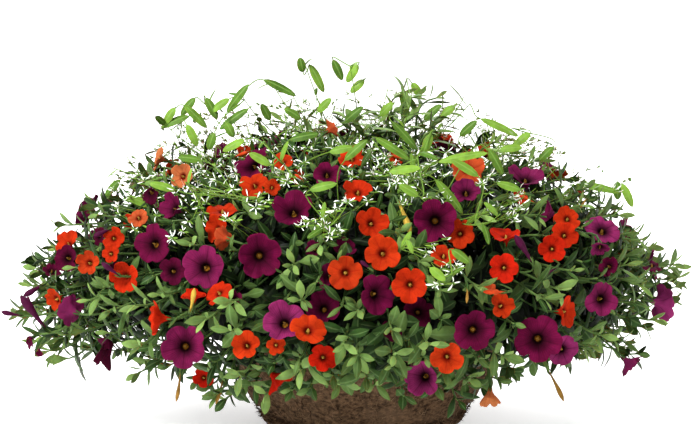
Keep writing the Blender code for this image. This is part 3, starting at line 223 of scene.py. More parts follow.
# The euphorbia's
EUPHORBIA_TIPS = [
    (113, 168, -0.03), (163, 122, 0.0), (205, 104, 0.02), (240, 92, -0.02), (270, 80, 0.03), (304, 61, 0.0),
    (350, 66, -0.02), (412, 92, -0.03), (470, 104, 0.02), (512, 128, -0.03), (548, 140, 0.03),
    (632, 178, 0.0), (185, 182, -0.16), (262, 138, -0.14), (322, 216, -0.25), (408, 238, -0.26),
    (452, 274, -0.27), (500, 214, -0.24), (420, 150, -0.18),
]
BACK_SPRAYS = 6

# Light rosettes at the ends of shoots that face the view
ROSETTES = [
    (230, 330), (243, 270), (292, 265), (358, 310), (285, 345), (300, 370), (358, 355), (392, 330),
    (440, 290), (600, 335), (580, 205), (540, 215), (230, 300), (160, 295), (135, 305), (90, 300),
    (205, 320), (330, 330), (420, 262), (480, 290), (520, 290), (560, 290), (625, 265), (640, 285),
    (655, 320), (590, 345), (505, 355), (470, 380), (430, 345), (395, 355), (340, 385), (240, 375),
    (215, 395), (140, 345), (70, 335), (110, 310), (60, 225), (100, 215), (140, 180), (190, 245),
    (235, 215), (320, 245), (400, 235), (480, 215), (525, 215), (590, 190), (620, 215), (640, 240),
    (345, 345), (375, 385), (265, 395), (300, 300), (410, 300), (545, 300),
]

# Outline of the foliage in the photograph, clockwise from the left, above the bowl
OUTLINE = [
    (3, 313), (20, 290), (22, 275), (40, 235), (70, 205), (105, 190), (125, 165), (150, 155), (165, 120),
    (190, 100), (240, 90), (265, 80), (300, 60), (350, 65), (400, 95), (440, 90), (480, 110), (520, 125),
    (545, 145), (580, 150), (590, 180), (635, 180), (640, 245), (655, 255), (690, 265), (688, 290),
    (675, 310), (660, 325), (640, 335), (645, 370), (600, 350), (570, 365), (560, 395), (540, 370),
    (520, 385), (500, 400), (480, 412), (465, 420), (380, 412), (300, 412), (255, 420), (235, 424),
    (220, 400), (195, 405), (190, 390), (170, 375), (130, 380), (120, 370), (85, 355), (45, 360), (20, 340),
]

# Long light leaves of the euphorbia: from base to tip in the photograph, then depth
SPRAY_LEAVES = [
    (264, 80, 297, 94, -0.02), (248, 85, 225, 112, -0.02), (229, 99, 210, 111, 0.0),
    (185, 106, 208, 127, 0.0), (188, 116, 160, 126, 0.0), (175, 108, 163, 124, 0.0),
    (195, 98, 180, 115, 0.02), (206, 98, 218, 119, 0.0), (248, 109, 218, 128, -0.04),
    (187, 125, 198, 146, -0.04), (214, 133, 208, 150, -0.06), (226, 123, 234, 137, -0.05),
    (310, 65, 325, 92, 0.0), (303, 72, 300, 58, 0.02), (358, 65, 346, 82, 0.0), (364, 80, 350, 92, 0.0),
    (333, 60, 343, 80, 0.0), (402, 91, 407, 111, 0.02), (412, 83, 422, 97, 0.02),
    (392, 122, 419, 149, -0.06), (376, 138, 411, 158, -0.12), (439, 162, 487, 150, -0.12),
    (489, 150, 504, 174, -0.11), (436, 180, 465, 213, -0.16), (431, 134, 423, 153, -0.1),
    (455, 106, 440, 116, 0.0), (481, 119, 520, 134, 0.0), (530, 133, 514, 145, -0.03),
    (553, 147, 539, 160, -0.02), (580, 184, 620, 190, -0.02), (617, 182, 618, 200, 0.0),
    (622, 184, 634, 207, 0.0), (345, 160, 366, 139, -0.14), (478, 176, 452, 158, -0.19),
    (300, 118, 285, 108, -0.03), (318, 112, 330, 98, -0.02), (270, 120, 262, 104, 0.0),
    (290, 140, 318, 132, -0.08), (345, 122, 362, 106, -0.03), (380, 116, 392, 102, 0.0),
    (424, 120, 440, 104, 0.0), (460, 136, 476, 120, -0.02), (500, 150, 522, 146, -0.04),
    (244, 140, 222, 150, -0.08), (200, 160, 178, 156, -0.08), (330, 152, 352, 146, -0.12),
    (390, 172, 420, 166, -0.18), (270, 165, 250, 152, -0.12), (310, 190, 336, 182, -0.18),
    (418, 196, 400, 184, -0.2), (520, 190, 498, 182, -0.15), (175, 190, 150, 182, -0.1),
    (150, 206, 128, 196, -0.08), (120, 180, 104, 196, 0.0), (452, 250, 470, 262, -0.26),
    (430, 268, 446, 280, -0.26),
]

# Where the white bracts crowd in the photograph: left, right, top, bottom, and how many clusters
BRACT_ZONES = [
    (250, 345, 100, 152, 109), (196, 250, 110, 165, 42), (195, 240, 165, 222, 42), (240, 305, 160, 208, 50),
    (300, 345, 200, 238, 25), (345, 450, 145, 205, 84), (425, 462, 235, 285, 34), (112, 150, 165, 232, 29),
    (150, 190, 170, 242, 29), (480, 525, 175, 222, 29), (400, 500, 105, 150, 55), (500, 560, 125, 170, 34),
    (560, 634, 150, 200, 21), (345, 400, 92, 140, 29), (160, 205, 120, 165, 25),
]
BACK_BRACTS = 200


def sight(px, py):
    """The unit direction from the viewpoint through a place in the photograph."""
    across = (px - PICTURE_MIDDLE[0]) * PIXEL
    above = (PICTURE_MIDDLE[1] - py) * PIXEL
    return (LOOK_AT + RIGHT * across + UP * above - EYE).normalized()


def picture_place(point):
    """Where a point is seen in the photograph."""
    offset = point - EYE
    shrink = VIEW_DISTANCE / (-offset.dot(BACK)) / PIXEL
    return PICTURE_MIDDLE[0] + offset.dot(RIGHT) * shrink, PICTURE_MIDDLE[1] - offset.dot(UP) * shrink


def reach(direction):
    """How far the leaf tips reach from the middle of the dome in this direction."""
    x, y, z = direction
    along_x = x / (REACH_LEFT if x < 0 else REACH_RIGHT)
    along_y = y / (REACH_FRONT if y < 0 else REACH_BACK)
    along_z = z / (REACH_UP if z > 0 else REACH_DOWN)
    return 1 / math.sqrt(along_x**2 + along_y**2 + along_z**2)


def dome_level(point):
    """1 on the surface of the leafy dome, less inside it."""
    offset = point - HOME
    return offset.length / reach(offset.normalized())


def on_dome(px, py, side=1):
    """Where a sight line meets the dome, or passes closest to it; with side -1, where it leaves it behind."""
    ray = sight(px, py)
    start = VIEW_DISTANCE - side * SEARCH_START
    steps = [EYE + ray * (start + side * SEARCH_STEP * i) for i in range(SEARCH_STEPS)]
    for point in steps:
        if dome_level(point) <= 1:
            return point
    return min(steps, key=dome_level)


def at_depth(px, py, depth):
    """The place on a sight line at this depth, where 0 is the basket's middle and + is behind it."""
    ray = sight(px, py)
    return EYE + ray * ((depth - EYE.y) / ray.y)


def facing(turn, tilt):
    """The direction that a bloom's face looks, from its turn and tilt in degrees."""
    turn = math.radians(turn)
    tilt = math.radians(tilt)
    return Vector((math.sin(turn) * math.cos(tilt), -math.cos(turn) * math.cos(tilt), math.sin(tilt)))


def toward(angle, height=0.0):
    """The unit direction at this angle round the basket and this angle above level."""
    return Vector((math.cos(angle) * math.cos(height), math.sin(angle) * math.cos(height), math.sin(height)))


def polar(radius, angle, height):
    """The place at this radius and angle round the basket, and at this height."""
    return Vector((radius * math.cos(angle), radius * math.sin(angle), height))


def raised(height):
    """The way up by this height."""
    return Vector((0, 0, height))


def bezier(a, b, c, d, steps):
    """Points along a cubic curve."""
    places = [(i / steps, 1 - i / steps) for i in range(steps + 1)]
    return [a * s**3 + b * 3 * s * s * t + c * 3 * s * t * t + d * t**3 for t, s in places]


def side_of(direction):
    """A unit vector square to this direction, level where it can be."""
    flat = direction.cross(raised(1))
    if flat.length < 1e-4:
        flat = direction.cross(Vector((0, 1, 0)))
    return flat.normalized()


def spun(axis, angle):
    """The direction square to this axis at this angle round it."""
    near = side_of(axis)
    return near * math.cos(angle) + axis.cross(near) * math.sin(angle)


def any_direction(rng):
    """A random direction, a little longer or shorter than 1."""
    return Vector([rng.gauss(0, 0.6) for _ in range(3)])


def bowl_wall():
    """(radius, height) points up the bowl's outer face from its flat base."""
    rim = Vector((RIM_RADIUS, BOWL_DEPTH))
    line = [Vector((BASE_RADIUS, 0.0)), FOOT_EDGE, SHOULDER]
    for i in range(1, WALL_STEPS + 1):
        t = i / WALL_STEPS
        line.append(SHOULDER * (1 - t) ** 2 + BELLY * 2 * t * (1 - t) + rim * t * t)
    return np.array([tuple(point) for point in line])


WALL_LINE = bowl_wall()


def wall_radius(height):
    """The radius of the bowl's outer face at this height."""
    return np.interp(height, WALL_LINE[:, 1], WALL_LINE[:, 0])


def sector_of(point):
    """The number of the plant in whose quarter this point is."""
    return int(((math.atan2(point.y, point.x) + PLANT_ANGLE / 2) % (2 * math.pi)) // PLANT_ANGLE)


def root_in_core(target):
    """A place inside the plant of the target's own sector, on the side of the target."""
    middle = sector_of(target) * PLANT_ANGLE
    turn = (math.atan2(target.y, target.x) - middle + math.pi) % (2 * math.pi) - math.pi
    limit = PLANT_ANGLE / 2 - ROOT_MARGIN
    angle = middle + max(-limit, min(limit, turn))
    out = reach(toward(angle))
    far = math.hypot(target.x, target.y)
    skirt_outside = 0.68 * out - 0.003
    if target.z < LOW_PLACES and far > skirt_outside:
        return polar(max(CORE_SKIRT + SKIRT_GAP, min(0.70 * far, skirt_outside)), angle, SKIRT_HEIGHT)
    radius = min(max(0.66 * far, CROWN_INSIDE), 0.54 * out)
    height = min(CROWN_HIGH - 0.42 * max(0.0, radius - 0.06), 0.5 * target.z + 0.07)
    return polar(radius, angle, max(CROWN_LOW, height))


# Blooms where the part has them
Flower = namedtuple("Flower", "node colour middle face size roll tint wilt")


def wanted_blooms():
    """(node, colour, place, inward direction, face, size, place in the photograph) of every bloom."""
    rng = random.Random(11)
    wanted = []
    for bloom in FRONT_BLOOMS:
        seen = (bloom.px, bloom.py)
        place = on_dome(*seen) if bloom.depth is None else at_depth(*seen, bloom.depth)
        node = f"{bloom.colour}_blooms_{bloom.bunch:02d}"
        face = facing(bloom.turn, bloom.tilt)
        wanted.append((node, bloom.colour, place, sight(*seen), face, bloom.size / 1000, seen))
    for i in range(BACK_BUNCHES):
        angle = BACK_START + BACK_TURN * (BACK_STRIDE * i % BACK_BUNCHES + 0.5) / BACK_BUNCHES
        out = toward(angle, BACK_LOW + BACK_RISE * (i + 0.5) / BACK_BUNCHES)
        colour = "plum" if i % 2 == 0 else "orange"
        spin = rng.uniform(0, 2 * math.pi)
        for k in range(3):
            lean = spun(out, spin + 2 * math.pi * k / 3)
            aim = (out * reach(out) + lean * BACK_SPREAD).normalized()
            face = (out + lean * 0.45 + raised(0.15)).normalized()
            size = BACK_SIZES[colour] * rng.uniform(0.88, 1.06)
            place = HOME + aim * reach(aim)
            wanted.append((f"{colour}_blooms_back_{i + 1}", colour, place, -out, face, size, None))
    return wanted


def placed_blooms():
    """Every bloom at the step of its sight line where the part's own solid stands."""
    rolls = random.Random(12)
    tints = random.Random(13)
    trees = {}
    flowers = []
    for node, colour, place, inward, face, size, seen in wanted_blooms():
        roll = rolls.uniform(0, 2 * math.pi / 5)
        if node not in trees:
            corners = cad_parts[node].data.vertices
            trees[node] = KDTree(len(corners))
            for corner in corners:
                trees[node].insert(corner.co, corner.index)
            trees[node].balance()
        notch = NOTCH_ROUND if size >= ROUND_LOBES else NOTCH_SMALL
        corner = spun(face, roll) * (size / 2 * notch) - face * (NOTCH_DEPTH * size)
        step = min(DEPTH_STEPS, key=lambda step: trees[node].find(place + inward * step + corner)[2])
        tint = TINTS.get(seen, tints.uniform(*TINT_RANGES[colour]))
        wilt = WILTED.get(seen, 0.0)
        flowers.append(Flower(node, colour, place + inward * step, face, size, roll, tint, wilt))
    return flowers


class Surface:
    """The points and faces of one mesh, gathered in blocks, with two looks stored at each point."""

    def __init__(self):
        self.blocks = []
        self.count = 0

    def add(self, points, faces, look, hue, slot=0):
        """points is (n, 3), faces (m, 4) with -1 last in a triangle; look and hue are (n, 3) or one row."""
        points = np.asarray(points, np.float64)
        faces = np.asarray(faces, np.int64)
        moved = np.where(faces < 0, -1, faces + self.count)
        look = np.broadcast_to(np.asarray(look, np.float64), points.shape)
        hue = np.broadcast_to(np.asarray(hue, np.float64), points.shape)
        self.blocks.append((points, moved, look, hue, np.full(len(faces), slot)))
        self.count += len(points)

    def make(self, name, materials, nodes=(), sharp=60):
        """Makes the object, which rides on the basket's one body."""
        points, faces, look, hue, slots = (np.concatenate(part) for part in zip(*self.blocks))
        sizes = np.where(faces[:, 3] < 0, 3, 4)
        corners = faces[faces >= 0]
        data = bpy.data.meshes.new(name)
        data.vertices.add(len(points))
        data.vertices.foreach_set("co", points.ravel())
        data.loops.add(len(corners))
        data.loops.foreach_set("vertex_index", corners)
        data.polygons.add(len(faces))
        data.polygons.foreach_set("loop_start", np.cumsum(sizes) - sizes)
        data.polygons.foreach_set("material_index", slots)
        data.update(calc_edges=True)
        for title, values in (("look", look), ("hue", hue)):
            data.attributes.new(title, "FLOAT_VECTOR", "POINT").data.foreach_set("vector", values.ravel())
        for finish in materials:
            data.materials.append(finish)
        data.polygons.foreach_set("use_smooth", np.ones(len(faces), bool))
        data.set_sharp_from_angle(angle=math.radians(sharp))
        made = bpy.data.objects.new(name, data)
        bpy.context.scene.collection.objects.link(made)
        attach(made, "root")
        if nodes:
            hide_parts(*nodes)


def grid_faces(rows, sides):
    """Quads between rings of points that close round, row after row."""
    i = np.arange(rows - 1)[:, None] * sides
    k = np.arange(sides)[None, :]
    after = (k + 1) % sides
    return np.stack([i + k, i + after, i + sides + after, i + sides + k], axis=-1).reshape(-1, 4)


def strand(surface, path, radii, sides, look, hue, slot=0):
    """A round stem or fibre along these points, closed at both ends. hue is one row, or one for each end."""
    path = np.array([tuple(p) for p in path])
    radii = np.interp(np.linspace(0, 1, len(path)), np.linspace(0, 1, len(radii)), radii)
    ahead = np.gradient(path, axis=0)
    ahead /= np.linalg.norm(ahead, axis=1)[:, None] + 1e-12
    near = np.cross(ahead, (0.31, 0.17, 0.93))
    near /= np.linalg.norm(near, axis=1)[:, None] + 1e-12
    over = np.cross(ahead, near)
    turn = np.arange(sides) * (2 * math.pi / sides)
    ring = near[:, None, :] * np.cos(turn)[None, :, None] + over[:, None, :] * np.sin(turn)[None, :, None]
    rings = path[:, None, :] + ring * radii[:, None, None]
    points = np.concatenate([rings.reshape(-1, 3), path[:1], path[-1:]])
    first = len(points) - 2
    end = (len(path) - 1) * sides
    caps = [((k + 1) % sides, first, k, -1) for k in range(sides)]
    caps += [(end + k, end + (k + 1) % sides, first + 1, -1) for k in range(sides)]
    hue = np.asarray(hue, np.float64)
    if hue.ndim == 2:
        along = np.concatenate([np.repeat(np.linspace(0, 1, len(path)), sides), [0, 1]])[:, None]
        hue = hue[0] * (1 - along) + hue[1] * along
    surface.add(points, np.concatenate([grid_faces(len(path), sides), np.array(caps)]), look, hue, slot)


class Blades:
    """Leaves, sepals and bracts: thin closed blades along a curled middle line, worked out together."""

    # Places along a blade, and its width there
    SHAPES = {
        "leaf": ((0.0, 0.16, 0.36, 0.56, 0.75, 0.90, 1.0), (0.13, 0.30, 0.74, 1.0, 0.84, 0.44, 0.03)),
        "oblong": ((0.0, 0.10, 0.30, 0.55, 0.80, 0.94, 1.0), (0.22, 0.66, 0.98, 1.0, 0.80, 0.44, 0.04)),
        "sepal": ((0.0, 0.35, 0.70, 1.0), (0.70, 1.0, 0.75, 0.10)),
        "bract": ((0.0, 0.35, 0.72, 1.0), (0.20, 0.75, 1.0, 0.35)),
    }
    RIB = 0.00008

    def __init__(self, shape):
        self.places, self.widths = (np.array(row) for row in self.SHAPES[shape])
        self.rows = []

    def add(self, base, ahead, up, length, half_width, curl, fold, tint, shade=0.0):
        """up is the side of the upper face; curl is the whole bend in radians; fold raises the rib."""
        ahead = ahead.normalized()
        up = (up - ahead * up.dot(ahead)).normalized()
        self.rows.append((*base, *ahead, *up, length, half_width, curl, fold, tint, shade))

    def pour(self, surface, slot=0):
        """Adds all of them to a surface. look is (along, across, upper side) and hue is (tint, painted shade,
        0).
        """
        table = np.array(self.rows)
        base, ahead, up = table[:, None, 0:3], table[:, None, 3:6], table[:, None, 6:9]
        length, half, curl, fold = (table[:, 9 + i, None, None] for i in range(4))
        along = self.places[None, :, None]
        bend = np.where(np.abs(curl) < 1e-3, 1e-3, curl)
        onward = ahead * (length * np.sin(bend * along) / bend)
        line = base + onward - up * (length * (1 - np.cos(bend * along)) / bend)
        over = up * np.cos(bend * along) + ahead * np.sin(bend * along)
        wide = half * self.widths[None, :, None]
        edge = np.cross(ahead, up) * wide
        rings = np.stack([line - edge, line + over * (wide * np.tan(fold) + self.RIB), line + edge], axis=2)
        count = len(table)
        many = len(self.places)
        look = np.stack(np.broadcast_arrays(along, np.array([-1.0, 0.0, 1.0]), 1.0), axis=-1)
        look = np.broadcast_to(look, (count, many, 3, 3)).reshape(-1, 3)
        hue = np.repeat(np.column_stack([table[:, 13:15], np.zeros(count)]), many * 3, axis=0)
        end = (many - 1) * 3
        one = np.concatenate([grid_faces(many, 3)[:, ::-1], [[0, 1, 2, -1]], [[end + 2, end + 1, end, -1]]])
        shift = (np.arange(count) * many * 3)[:, None, None]
        faces = np.where(one[None] < 0, -1, one[None] + shift).reshape(-1, 4)
        surface.add(rings.reshape(-1, 3), faces, look, hue, slot)


# Materials
GLOW_DEPTH = 0.002
THROAT_GOLD = (0.27, 0.105, 0.010)


class Shader:
    """A node material: a few short words for the nodes that every finish here uses."""

    def __init__(self, name, roughness, specular=0.5, glow=0.0):
        self.material = bpy.data.materials.new(name)
        self.material.use_nodes = True
        self.tree = self.material.node_tree
        self.shader = self.tree.nodes["Principled BSDF"]
        self.set("Roughness", roughness)
        self.set("Specular IOR Level", specular)
        if glow:
            self.set("Subsurface Weight", glow)
            self.set("Subsurface Scale", GLOW_DEPTH)
        self.place = self.new("TexCoord").outputs["Object"]

    def new(self, kind):
        return self.tree.nodes.new("ShaderNode" + kind)

    def set(self, title, value):
        self.shader.inputs[title].default_value = value

    def feed(self, socket, value):
        if isinstance(value, bpy.types.NodeSocket):
            self.tree.links.new(value, socket)
        elif value is not None:
            socket.default_value = (*value, 1.0) if isinstance(value, tuple) and len(value) == 3 else value

    def math(self, operation, a, b=None):
        node = self.new("Math")
        node.operation = operation
        self.feed(node.inputs[0], a)
        self.feed(node.inputs[1], b)
        return node.outputs[0]

    def times(self, a, b):
        return self.math("MULTIPLY", a, b)

    def span(self, value, low, high, start=0.0, end=1.0):
        """value's way from low to high, as a number from start to end."""
        node = self.new("MapRange")
        for socket, number in zip(node.inputs, (value, low, high, start, end)):
            self.feed(socket, number)
        return node.outputs[0]

    def mix(self, factor, a, b, blend="MIX"):
        node = self.new("Mix")
        node.data_type = "RGBA"
        node.blend_type = blend
        self.feed(node.inputs["Factor"], factor)
        for socket, value in zip([s for s in node.inputs if s.type == "RGBA"], (a, b)):
            self.feed(socket, value)
        return next(s for s in node.outputs if s.type == "RGBA")

    def stored(self, title):
        """The three numbers stored at each point under this title."""
        node = self.new("Attribute")
        node.attribute_name = title
        split = self.new("SeparateXYZ")
        self.tree.links.new(node.outputs["Vector"], split.inputs[0])
        return tuple(split.outputs)

    def noise(self, scale, detail=3.0, rough=0.55, vector=None):
        node = self.new("TexNoise")
        self.feed(node.inputs["Vector"], vector or self.place)
        for title, value in (("Scale", scale), ("Detail", detail), ("Roughness", rough)):
            node.inputs[title].default_value = value
        return node.outputs["Fac"]

    def join(self, *parts):
        """The colour of these three numbers."""
        node = self.new("CombineColor")
        for socket, value in zip(node.inputs, parts):
            self.tree.links.new(value, socket)
        return node.outputs[0]

    def shaded(self, colour, lightness):
        """This colour, darkened or lightened."""
        return self.mix(1.0, colour, self.join(lightness, lightness, lightness), "MULTIPLY")

    def patchy(self, colour, scale, low, high, least, most):
        """This colour in lighter and darker patches."""
        return self.shaded(colour, self.span(self.noise(scale), low, high, least, most))

    def tinted(self, tint, plain, light, dark):
        """From plain toward light where tint is positive, toward dark where it is negative."""
        return self.mix(self.span(tint, 0.0, -1.0), self.mix(self.span(tint, 0.0, 1.0), plain, light), dark)

    def bump(self, height, distance, strength=1.0):
        node = self.new("Bump")
        for title, value in (("Distance", distance), ("Strength", strength), ("Height", height)):
            self.feed(node.inputs[title], value)
        self.tree.links.new(node.outputs[0], self.shader.inputs["Normal"])

    def paint(self, colour):
        self.feed(self.shader.inputs["Base Color"], colour)
        return self.material


def petal_finish(name, plain, warm, dark, throat, throat_reach, vein):
    """Petals: a dark throat, veins that fan out from it, a dark line down the middle of each lobe, and the
    bloom's tint, which on dark plum blooms is painted shade.
    """
    made = Shader(name, 0.70, 0.02, 0.05)
    radius, lobe, side = made.stored("look")
    tint, _, faded = made.stored("hue")
    colour = made.patchy(made.tinted(tint, plain, warm, dark), 95.0, 0.34, 0.68, 0.72, 1.18)
    fan = made.math("ABSOLUTE", made.math("SINE", made.times(lobe, 14.0)))
    rays = made.math("POWER", made.math("SUBTRACT", 1.0, fan), 4.0)
    # A dark line, in the vein colour, down the middle of each lobe.
    crease = made.span(made.math("ABSOLUTE", lobe), 0.0, 0.16, 1.0, 0.0)
    lines = made.math("MAXIMUM", made.times(rays, 0.85), made.times(crease, 0.90))
    lines = made.times(lines, made.span(radius, 0.25, 1.0, 1.0, 0.25))
    colour = made.mix(lines, colour, vein)
    inside = made.times(made.span(radius, 0.20, throat_reach, 1.0, 0.0), made.span(side, 0.4, 0.6))
    colour = made.mix(inside, colour, throat)
    gold = made.times(made.span(radius, 0.15, 0.08, 0.0, 0.7), side)
    colour = made.mix(gold, colour, THROAT_GOLD)
    colour = made.mix(made.span(side, 0.5, 0.0, 0.0, 0.35), colour, warm)
    colour = made.mix(made.times(faded, 0.75), colour, dark)
    made.bump(made.math("ADD", lines, made.noise(420.0)), 0.0004, 0.6)
    return made.paint(colour)


def leaf_finish(name, middle, light, dark, rib):
    """Leaves and stems: hue's tint goes from dark inside the plant to light at the tips, partly the young
    leaves' lighter green and partly painted shade; hue's shade is painted shade.
    """
    made = Shader(name, 0.46, 0.05, 0.08)
    _, across, upper = made.stored("look")
    tint, shade, _ = made.stored("hue")
    colour = made.patchy(made.tinted(tint, middle, light, dark), 95.0, 0.30, 0.72, 0.66, 1.20)
    on_rib = made.span(made.math("ABSOLUTE", across), 0.0, 0.22, 0.55, 0.0)
    colour = made.mix(made.times(on_rib, made.span(upper, 0.4, 0.6)), colour, rib)
    colour = made.mix(made.span(upper, 0.45, 0.0, 0.0, 0.30), colour, rib)
    # Painted shade: hue's shade darkens the colour to as little as 7 percent.
    colour = made.shaded(colour, made.span(shade, 0.0, 1.0, 1.0, 0.07))
    made.bump(made.noise(330.0), 0.0003, 0.5)
    return made.paint(colour)


def shade_tangle_finish():
    """The plants' dull inside, painted near black as shade."""
    made = Shader("painted_shade_tangle", 1.0, 0.0)
    patches = made.span(made.noise(160.0), 0.35, 0.65)
    return made.paint(made.mix(patches, (0.0010, 0.0025, 0.0008), (0.0060, 0.0140, 0.0040)))


def bract_finish():
    """White bracts that are green at the foot."""
    made = Shader("white_bract", 0.5, 0.4, 0.12)
    along, _, _ = made.stored("look")
    colour = made.mix(made.span(along, 0.0, 0.35, 0.45, 0.0), (0.74, 0.76, 0.66), (0.36, 0.46, 0.16))
    return made.paint(made.patchy(colour, 160.0, 0.3, 0.7, 0.88, 1.05))


def detail_finish():
    """Stigmas and buds: hue is the colour itself."""
    made = Shader("petal_detail", 0.6, 0.06)
    return made.paint(made.patchy(made.join(*made.stored("hue")), 210.0, 0.3, 0.7, 0.70, 1.20))


def coir_finish():
    """Matted brown fibre: hue's tint is how light a fibre is; its shade is painted shade in the fold and its
    fringe, and the darker tone of some loose fibres.
    """
    made = Shader("coir", 0.95, 0.03)
    tint, shade, _ = made.stored("hue")
    stretch = made.new("Mapping")
    stretch.inputs["Scale"].default_value = (1.0, 1.0, 1.4)
    made.tree.links.new(made.place, stretch.inputs["Vector"])
    hairs = made.noise(240.0, 6.0, 0.7, stretch.outputs[0])
    patches = made.noise(26.0)
    colour = made.mix(made.span(hairs, 0.40, 0.62), (0.0050, 0.0024, 0.0011), (0.120, 0.067, 0.035))
    colour = made.mix(made.times(made.span(patches, 0.45, 0.72), 0.40), colour, (0.150, 0.090, 0.052))
    colour = made.mix(made.span(tint, 0.0, 1.0, 0.0, 0.85), colour, (0.26, 0.165, 0.095))
    # hue's shade: painted shade in the fold and its fringe, and darker loose fibres.
    colour = made.mix(made.span(shade, 0.0, 1.0, 0.0, 0.9), colour, (0.022, 0.012, 0.007))
    made.bump(made.math("ADD", hairs, patches), 0.0030)
    return made.paint(colour)


def soil_finish():
    """Dark potting soil with light specks."""
    made = Shader("soil", 1.0, 0.1)
    grains = made.noise(420.0, 6.0, 0.7)
    colour = made.mix(made.span(grains, 0.35, 0.65), (0.012, 0.008, 0.005), (0.060, 0.038, 0.024))
    specks = made.span(made.noise(160.0, 2.0), 0.68, 0.72)
    made.bump(grains, 0.002)
    return made.paint(made.mix(specks, colour, (0.30, 0.28, 0.24)))


def wire_finish():
    """Dark wire, worn brown in places."""
    made = Shader("dark_wire", 0.45)
    made.set("Metallic", 0.6)
    worn = made.span(made.noise(90.0, 4.0), 0.55, 0.70)
    made.bump(made.noise(500.0), 0.0002, 0.4)
    return made.paint(made.mix(worn, (0.020, 0.024, 0.020), (0.075, 0.060, 0.045)))


PETALS = {
    "plum": petal_finish(
        "plum_petal", (0.078, 0.0022, 0.022), (0.190, 0.019, 0.090), (0.016, 0.0005, 0.0040),
        (0.0045, 0.0002, 0.0010), 0.66, (0.019, 0.0004, 0.0046)),
    "orange": petal_finish(
        "orange_petal", (0.280, 0.0190, 0.0024), (0.295, 0.0062, 0.0016), (0.33, 0.110, 0.036),
        (0.110, 0.0045, 0.0010), 0.42, (0.170, 0.0040, 0.0010)),
}
LEAF = leaf_finish(
    "calibrachoa_green", (0.019, 0.047, 0.0085), (0.140, 0.225, 0.055), (0.0030, 0.0090, 0.0022),
    (0.11, 0.18, 0.060))
SPRAY = leaf_finish(
    "euphorbia_green", (0.050, 0.110, 0.012), (0.145, 0.260, 0.030), (0.012, 0.030, 0.005),
    (0.16, 0.26, 0.06))
SHADE_TANGLE = shade_tangle_finish()
BRACT = bract_finish()
DETAIL = detail_finish()
COIR = coir_finish()
STIGMAS = {"plum": (0.15, 0.075, 0.012), "orange": (0.34, 0.20, 0.035)}
# Looks of a stem all round
ROUND = (0.5, 1.0, 0.2)
SPRAY_ROUND = (0.5, 1.0, 0.3)


# Blooms
LOBES = 5
LOBE_STEPS = 10
SMALL_LOBE_STEPS = 7
SEPALS = 5
ANTHERS = 4
# (radius, height, side) of a bloom's closed profile, in parts of its size: up the inside of the throat, out
# over the limb, round the rim, back under it and down the tube; side is 1 above and 0 below
BLOOM_PROFILE = [
    (0.000, -0.290, 1.0), (0.045, -0.290, 1.0), (0.074, -0.235, 1.0), (0.096, -0.175, 1.0),
    (0.135, -0.128, 1.0), (0.190, -0.094, 1.0), (0.255, -0.066, 1.0), (0.325, -0.040, 1.0),
    (0.395, -0.019, 1.0), (0.455, -0.005, 1.0), (0.492, -0.003, 1.0), (0.500, -0.011, 0.5),
    (0.480, -0.021, 0.0), (0.390, -0.042, 0.0), (0.270, -0.082, 0.0), (0.165, -0.150, 0.0),
    (0.105, -0.250, 0.0), (0.066, -0.350, 0.0), (0.038, -TUBE_LENGTH, 0.0), (0.000, -TUBE_LENGTH, 0.0),
]
# The parts of a stalk, how many bends are tried where it would pass through a bloom, and how far they go
STALK_STEPS = 9
STALK_BENDS = 10
STALK_BEND = 0.022
STALK_THICK = 0.0008
BUD_STALK_THICK = 0.0007
SEPAL_LENGTHS = (0.0065, 0.0085)
SEPAL_HALF_WIDTH = 0.0009
GROUND_GAP = 0.003


def bloom_points(flower, rng):
    """Points of one bloom, ring by ring, and their look: (radius up to 1, place across its lobe, side)."""
    large = flower.size >= ROUND_LOBES
    steps = LOBE_STEPS if large else SMALL_LOBE_STEPS
    sides = LOBES * steps
    profile = np.array(BLOOM_PROFILE)
    turn = np.arange(sides) * (2 * math.pi / sides)
    across_lobe = (np.arange(sides) % steps) / steps * 2 - 1
    ridge = np.exp(-((across_lobe / 0.20) ** 2))

    def by_lobe(low, high):
        return np.array([rng.uniform(low, high) for _ in range(LOBES)])[np.arange(sides) // steps]

    cut = (1 - (NOTCH_ROUND if large else NOTCH_SMALL)) * by_lobe(0.70, 1.30)
    rim = 1 - cut * np.abs(across_lobe) ** 3.6 - rng.uniform(0.0, 0.014) * ridge
    rim *= by_lobe(0.92, 1.05)
    droop = by_lobe(-0.150, 0.090)
    cup = rng.uniform(-0.05, 0.13)
    outer = np.clip((profile[:, 0] - 0.10) / 0.40, 0, 1)[:, None]
    radius = profile[:, 0:1] * (1 + (rim[None, :] - 1) * outer**1.5)
    phase = rng.uniform(0, 2 * math.pi)
    ruffle = 0.022 * np.sin(7 * turn + phase) + 0.012 * np.sin(11 * turn + 2.1 * phase)
    ruffle += 0.050 * np.sin(2 * turn + phase)
    fold = -0.030 * ridge - 0.055 * np.exp(-(((1 - np.abs(across_lobe)) / 0.30) ** 2))
    height = profile[:, 1:2] + outer**1.6 * (ruffle + fold + droop * (1 - across_lobe**2))[None, :]
    height = height + outer * (1 - outer) * -0.10 + outer**2 * cup
    if flower.wilt:
        height = height - flower.wilt * 0.15 * outer**1.4 * (1 + 0.5 * np.sin(2 * turn + phase))[None, :]
        radius = radius * (1 - flower.wilt * 0.50 * outer * (1 + 0.3 * np.sin(5 * turn + phase))[None, :])
    across = np.array(side_of(flower.face))
    over = np.cross(flower.face, across)
    turned = (turn + flower.roll)[:, None]
    out = across * np.cos(turned) + over * np.sin(turned)
    spread = radius[:, :, None] * out + height[:, :, None] * np.array(flower.face)
    points = np.array(flower.middle) + flower.size * spread
    sag = outer**1.3 * (1.1 + 0.3 * np.sin(3 * turn + phase))[None, :]
    points[:, :, 2] -= flower.wilt * 0.38 * flower.size * sag
    look = np.stack(np.broadcast_arrays(profile[:, 0:1] * 2, across_lobe[None, :], profile[:, 2:3]), axis=-1)
    return points, look


